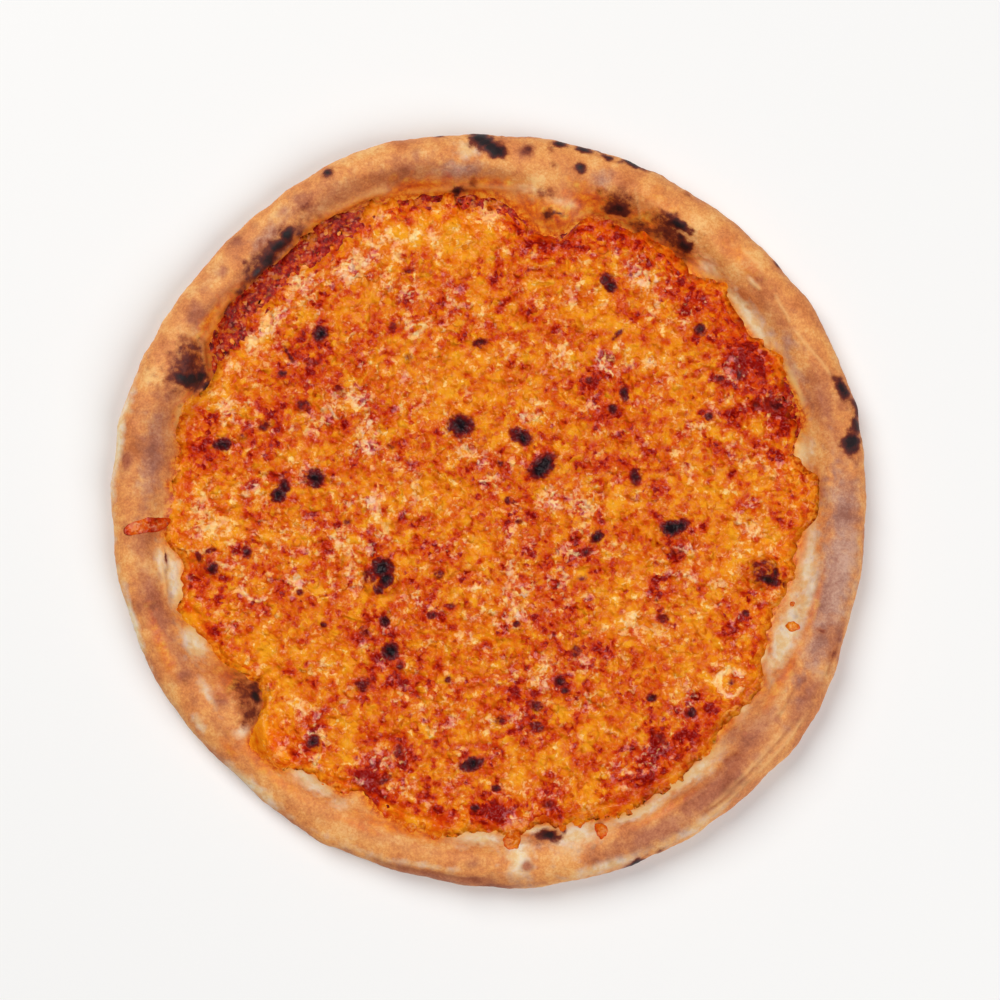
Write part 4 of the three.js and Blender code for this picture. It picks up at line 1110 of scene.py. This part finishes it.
def bubble_tree(name, look, material):
    """A tree that grows bubbles on a surface: scattered, turned to it and made uneven."""
    tree = bpy.data.node_groups.new(name, "GeometryNodeTree")
    for label, kind in BUBBLE_SOCKETS.items():
        tree.interface.new_socket(label, in_out="INPUT", socket_type=kind)
    tree.interface.new_socket("Geometry", in_out="OUTPUT", socket_type="NodeSocketGeometry")
    given = add_node(tree, "NodeGroupInput", {}).node.outputs
    stored = {field: add_node(tree, "GeometryNodeInputNamedAttribute", {"data_type": "FLOAT"}, {
        "Name": field}) for field in ("zone", "burnt", "heat", "curds", "crown", "own")}

    ground = add_node(tree, "GeometryNodeObjectInfo", {}, {"Object": given["Surface"]}, "Geometry")
    normal = add_node(tree, "GeometryNodeInputNormal", {})
    upward = add_node(tree, "ShaderNodeSeparateXYZ", {}, [normal], "Z")
    open_top = add_node(tree, "ShaderNodeMath", {"operation": "GREATER_THAN"}, [upward, 0.3])
    crowding = add_node(tree, "ShaderNodeMapRange", {}, [
        stored[look["field"]], *look["range"]])
    unburnt = add_node(tree, "ShaderNodeMapRange", {}, [stored["burnt"], 0.5, 0.3])
    points = add_node(tree, "GeometryNodeDistributePointsOnFaces", {
        "distribute_method": "POISSON"}, {
        "Mesh": ground, "Selection": open_top, "Distance Min": given["Spacing"],
        "Density Max": given["Crowd"], "Density Factor": product(tree, crowding, unburnt),
        "Seed": given["Seed"]}, "Points")

    ball = add_node(tree, "GeometryNodeMeshIcoSphere", {}, {"Radius": 1.0, "Subdivisions": 2})
    position = add_node(tree, "GeometryNodeInputPosition", {})
    ball_height = add_node(tree, "ShaderNodeSeparateXYZ", {}, [position], "Z")
    ball = add_node(tree, "GeometryNodeStoreNamedAttribute", {"data_type": "FLOAT"}, {
        "Geometry": ball, "Name": "crown", "Value": ball_height})
    size_share = add_node(tree, "FunctionNodeRandomValue", {"data_type": "FLOAT"}, {
        "Seed": given["Seed"]}, 1)
    size_share = add_node(tree, "ShaderNodeMath", {"operation": "POWER"}, [
        size_share, look["bias"]])
    size = add_node(tree, "ShaderNodeMapRange", {}, {
        "Value": size_share, "To Min": given["Smallest"], "To Max": given["Largest"]})
    scale = add_node(tree, "ShaderNodeCombineXYZ", {}, [
        product(tree, size, given["Length"]), size, product(tree, size, given["Flatness"])])
    spin = add_node(tree, "FunctionNodeRandomValue", {"data_type": "FLOAT"}, {
        "Max": 2 * math.pi, "Seed": 7}, 1)
    spin = add_node(tree, "FunctionNodeAxisAngleToRotation", {}, {"Angle": spin})
    facing = add_node(tree, "FunctionNodeRotateRotation", {"rotation_space": "LOCAL"}, {
        "Rotation": points.node.outputs["Rotation"], "Rotate By": spin})
    grown = add_node(tree, "GeometryNodeInstanceOnPoints", {}, {
        "Points": points, "Instance": ball, "Rotation": facing, "Scale": scale})
    own = add_node(tree, "FunctionNodeRandomValue", {"data_type": "FLOAT"}, {"Seed": 11}, 1)
    marked = add_node(tree, "GeometryNodeStoreNamedAttribute", {
        "data_type": "FLOAT", "domain": "INSTANCE"}, {
        "Geometry": grown, "Name": "own", "Value": own})
    real = add_node(tree, "GeometryNodeRealizeInstances", {}, [marked])

    bend = add_node(tree, "ShaderNodeTexNoise", {}, {
        "Vector": position, "Scale": 1000 / look["grain"], "Detail": 1}, "Color")
    bend = add_node(tree, "ShaderNodeVectorMath", {"operation": "SUBTRACT"}, [
        bend, (0.5, 0.5, 0.5)])
    bend = add_node(tree, "ShaderNodeVectorMath", {"operation": "SCALE"}, {
        0: bend, "Scale": given["Unevenness"]})
    sunk = add_node(tree, "ShaderNodeVectorMath", {"operation": "ADD"}, [
        bend, (0.0, 0.0, BUBBLE_SINK)])
    kept = add_node(tree, "GeometryNodeSetPosition", {}, {"Geometry": real, "Offset": sunk})

    # Painted shade and highlight: a redder foot where each one meets the sheet, and a crown less
    # fried in its middle than round it.
    crown_share = add_node(tree, "ShaderNodeMapRange", {}, [stored["crown"], 0.05, 0.5])
    ring = add_node(tree, "ShaderNodeMapRange", {}, [
        stored["crown"], 1.0, 0.7, look["middle"], 1.0])
    tint = product(tree, crown_share, ring, stored["own"])
    foot = add_node(tree, "ShaderNodeMapRange", {}, [
        stored["crown"], 0.0, 0.5, look["foot"], 0.0])
    heat = add_up(tree, stored["heat"], [(tint, look["fried"]), (foot, 1.0)])
    curds = add_up(tree, stored["curds"], [(tint, look["pale"])])
    skin = add_node(tree, "ShaderNodeMapRange", {}, [stored["crown"], 0.0, 0.3])
    for field, value in (("heat", heat), ("curds", curds), ("skin", skin)):
        kept = add_node(tree, "GeometryNodeStoreNamedAttribute", {"data_type": "FLOAT"}, {
            "Geometry": kept, "Name": field, "Value": value})
    smooth = add_node(tree, "GeometryNodeSetShadeSmooth", {}, [kept])
    done = add_node(tree, "GeometryNodeSetMaterial", {}, {"Geometry": smooth, "Material": material})
    add_node(tree, "NodeGroupOutput", {}, [done])
    return tree


def grow(name, tree, values):
    """The mesh that a tree makes from the values of its inputs, as a plain object."""
    grower = bpy.data.objects.new(name + "_grower", bpy.data.meshes.new(name + "_grower"))
    bpy.context.scene.collection.objects.link(grower)
    modifier = grower.modifiers.new("grow", "NODES")
    modifier.node_group = tree
    for label, value in values.items():
        modifier[tree.interface.items_tree[label].identifier] = value
    graph = bpy.context.evaluated_depsgraph_get()
    mesh = bpy.data.meshes.new_from_object(grower.evaluated_get(graph), depsgraph=graph)
    grower.modifiers.remove(modifier)
    bpy.data.objects.remove(grower)
    for helper in ("own", "crown"):
        mesh.attributes.remove(mesh.attributes[helper])
    piece = bpy.data.objects.new(name, mesh)
    bpy.context.scene.collection.objects.link(piece)
    return piece


# Where each kind crowds, how many are small, how uneven they are in mm, and how their
# colour runs from foot to crown, the redder foot painted shade and the paler middle a
# painted highlight; then their number to a square metre and sizes in metres.
BROWNED_LOOK = {"field": "zone", "range": (-2.2, 1.2, 0.25, 1.0), "bias": 1.5, "grain": 2.2,
                "fried": 1.4, "foot": 1.2, "pale": -0.5, "middle": 0.55}
BROWNED_SIZES = {"Seed": 3, "Spacing": 0.0040, "Crowd": 9000.0, "Smallest": 0.0008,
                 "Largest": 0.0020, "Length": 1.2, "Flatness": 0.35, "Unevenness": 0.0008}
CURD_LOOK = {"field": "curds", "range": (-0.3, 1.0, 0.05, 1.0), "bias": 1.3, "grain": 1.8,
             "fried": 0.0, "foot": 2.0, "pale": 0.1, "middle": 1.0}
CURD_SIZES = {"Seed": 5, "Spacing": 0.0022, "Crowd": 36000.0, "Smallest": 0.0005,
              "Largest": 0.0012, "Length": 1.8, "Flatness": 0.5, "Unevenness": 0.0010}
for name, look, sizes in (("browned_bubbles", BROWNED_LOOK, BROWNED_SIZES),
                          ("curd_bits", CURD_LOOK, CURD_SIZES)):
    bubbles = grow(name, bubble_tree(name, look, melted_cheese), {"Surface": cheese, **sizes})
    stand_in(bubbles, "cheese")

# ------------------------------------------------------------- Cheese run onto the rim
# Where the filling boiled over, a tongue of cheese ran up the left of the rim and two
# drops landed at the front. They baked on as thin, glossy pads that follow the skin.

PAD_RINGS = 14
PAD_SEGMENTS = 56
PAD_SEARCH = 14                  # no drop reaches farther than this from its middle
PAD_THICKNESS = 0.9              # of a large pad; a small drop is thinner
PAD_EDGE = 0.2                   # how far its edge lies under the dough's skin
PAD_ROOT = 1.2                   # how far its middle goes down into the dough
PAD_GRAIN = 0.04                 # roughness of its top


def node_outline(node, angles):
    """The middle of a plain drop of cheese, and its reach at each angle from there."""
    low, high = (np.array(corner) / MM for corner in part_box(node))
    middle = (low + high) / 2
    own = node_surface(node)
    steps = np.linspace(0, PAD_SEARCH, 10 * PAD_SEARCH + 1)
    reaches = []
    for angle in angles:
        x, y = middle[0] + steps * math.cos(angle), middle[1] + steps * math.sin(angle)
        reaches.append(steps[top_heights(own, x, y) > 0].max())
    return middle[:2], np.array(reaches)


def rim_pad(name, middle, reaches, seed, redness, *nodes):
    """A thin pad of baked-on cheese that follows the rim's skin."""
    lumpy = 1.04 + 0.09 * mottle((8, PAD_SEGMENTS), (1, 1), 6, 30, seed)[0]
    shares = np.linspace(0, 1, PAD_RINGS)[1:]
    x = middle[0] + shares[:, None] * reaches * lumpy * np.cos(pad_angles)
    y = middle[1] + shares[:, None] * reaches * lumpy * np.sin(pad_angles)
    x, y = np.append(x.ravel(), middle[0]), np.append(y.ravel(), middle[1])
    share = np.append(np.repeat(shares, PAD_SEGMENTS), 0)
    skin = dough_top(np.degrees(np.arctan2(y, x)), np.hypot(x, y))
    bumps = np.random.default_rng(seed).normal(0, PAD_GRAIN, len(share))
    thickness = min(PAD_THICKNESS, 0.25 * reaches.min() + 0.2)
    rise = thickness * np.sqrt(1 - share ** 2 * 0.999) + bumps * (share < 0.95)
    top = np.stack([x, y, skin - PAD_EDGE + rise], -1)
    base = np.array([[middle[0], middle[1], skin[-1] - PAD_ROOT]])
    pole = len(top) - 1
    faces = ring_faces(0, PAD_RINGS - 1, PAD_SEGMENTS)[:, ::-1].tolist()
    faces += fan(pole, 0, PAD_SEGMENTS)
    faces += fan(pole + 1, (PAD_RINGS - 2) * PAD_SEGMENTS, PAD_SEGMENTS, flip=True)
    flat = np.zeros(len(share) + 1)
    heat = np.append(share ** 3, 0)
    pad = make_piece(name, np.vstack([top, base]), faces, {
        "zone": flat + redness + heat, "curds": 0.6 - heat, "burnt": 0.10 + 0.08 * heat,
        "heat": flat, "film": flat + 0.8, "baked": 0.55 + 0.4 * heat})
    pad.data.materials.append(melted_cheese)
    stand_in(pad, "cheese", *nodes)


pad_angles = np.linspace(0, 2 * math.pi, PAD_SEGMENTS, endpoint=False)
for name, node, seed, redness in [("cheese_tongue", "cheese_streak", 51, 1.0),
                                  ("cheese_drip_front", "cheese_drop_front", 52, 0.0),
                                  ("cheese_drip_right", "cheese_drop_right", 53, 0.6)]:
    middle, reaches = node_outline(node, pad_angles)
    rim_pad(name, middle, reaches, seed, redness, node)

# Smaller drops: bearing, radius, size around, size outwards.
SMALL_DROPS = [(286, 137.5, 5.5, 5), (283, 138, 3.5, 4), (338.5, 138, 4, 6), (342.3, 135, 2.4, 2),
               (333.4, 130, 4, 4), (261, 139.5, 5, 4), (256.5, 138.5, 5, 4), (243, 133.5, 5, 4)]
for i, (bearing_there, out, along, across) in enumerate(SMALL_DROPS):
    middle = polar(bearing_there, out)
    facing = pad_angles - math.radians(bearing_there)
    reaches = 0.5 / np.hypot(np.cos(facing) / across, np.sin(facing) / along)
    rim_pad("cheese_drip_small_" + str(i + 1), middle, reaches, 60 + i, 0.2)

# ----------------------------------------------------------------------- Studio floor
# A plain pale table top of matt white laminate, far wider than the pizza, under two round
# soft boxes. The light from overhead is strongest from the far left.

FLOOR_SIZE = 3.0
floor_mesh = bpy.data.meshes.new("floor")
half = FLOOR_SIZE / 2
floor_corners = [(-half, -half, 0), (half, -half, 0), (half, half, 0), (-half, half, 0)]
floor_mesh.from_pydata(floor_corners, [], [(0, 1, 2, 3)])
floor = bpy.data.objects.new("floor", floor_mesh)
bpy.context.scene.collection.objects.link(floor)
laminate, tree = start_material("white_table")
table_shader = add_node(tree, "ShaderNodeBsdfPrincipled", {}, {
    "Base Color": "F4F4F4", "Roughness": 0.9, "Specular IOR Level": 0.1})
add_node(tree, "ShaderNodeOutputMaterial", {}, [table_shader])
floor_mesh.materials.append(laminate)


def soft_light(name, place, size, power, colour):
    data = bpy.data.lights.new(name, "AREA")
    data.shape, data.size, data.energy = "DISK", size, power
    data.color = linear(colour)[:3]
    lamp = bpy.data.objects.new(name, data)
    lamp.location = place
    lamp.rotation_euler = (-Vector(place)).to_track_quat("-Z", "Y").to_euler()
    bpy.context.scene.collection.objects.link(lamp)


soft_light("key", (-1.3, 1.5, 2.3), 2.2, 75, "FFFDFA")
soft_light("fill", (1.6, -1.2, 2.1), 2.2, 54, "FFFFFF")
world = bpy.data.worlds.new("studio")
world.use_nodes = True
world.node_tree.nodes["Background"].inputs["Color"].default_value = linear("FFFFFF")
world.node_tree.nodes["Background"].inputs["Strength"].default_value = 0.08
bpy.context.scene.world = world

# ----------------------------------------------------------------------------- Camera
# An 85 mm portrait lens a metre away, looking almost straight down from the side nearest
# the viewer, and aimed a little off the pizza's middle.

ELEVATION = 86
DISTANCE = 1.004
camera_data = bpy.data.cameras.new("camera")
camera_data.lens = 85
camera_data.sensor_width = 36
camera = bpy.data.objects.new("camera", camera_data)
aim = Vector((0.0049, 0.0032, 0.008))
back = Vector((0, -math.cos(math.radians(ELEVATION)), math.sin(math.radians(ELEVATION))))
camera.location = aim + DISTANCE * back
camera.rotation_euler = (-back).to_track_quat("-Z", "Y").to_euler()
bpy.context.scene.collection.objects.link(camera)
bpy.context.scene.camera = camera
bpy.context.scene.view_settings.view_transform = "Standard"
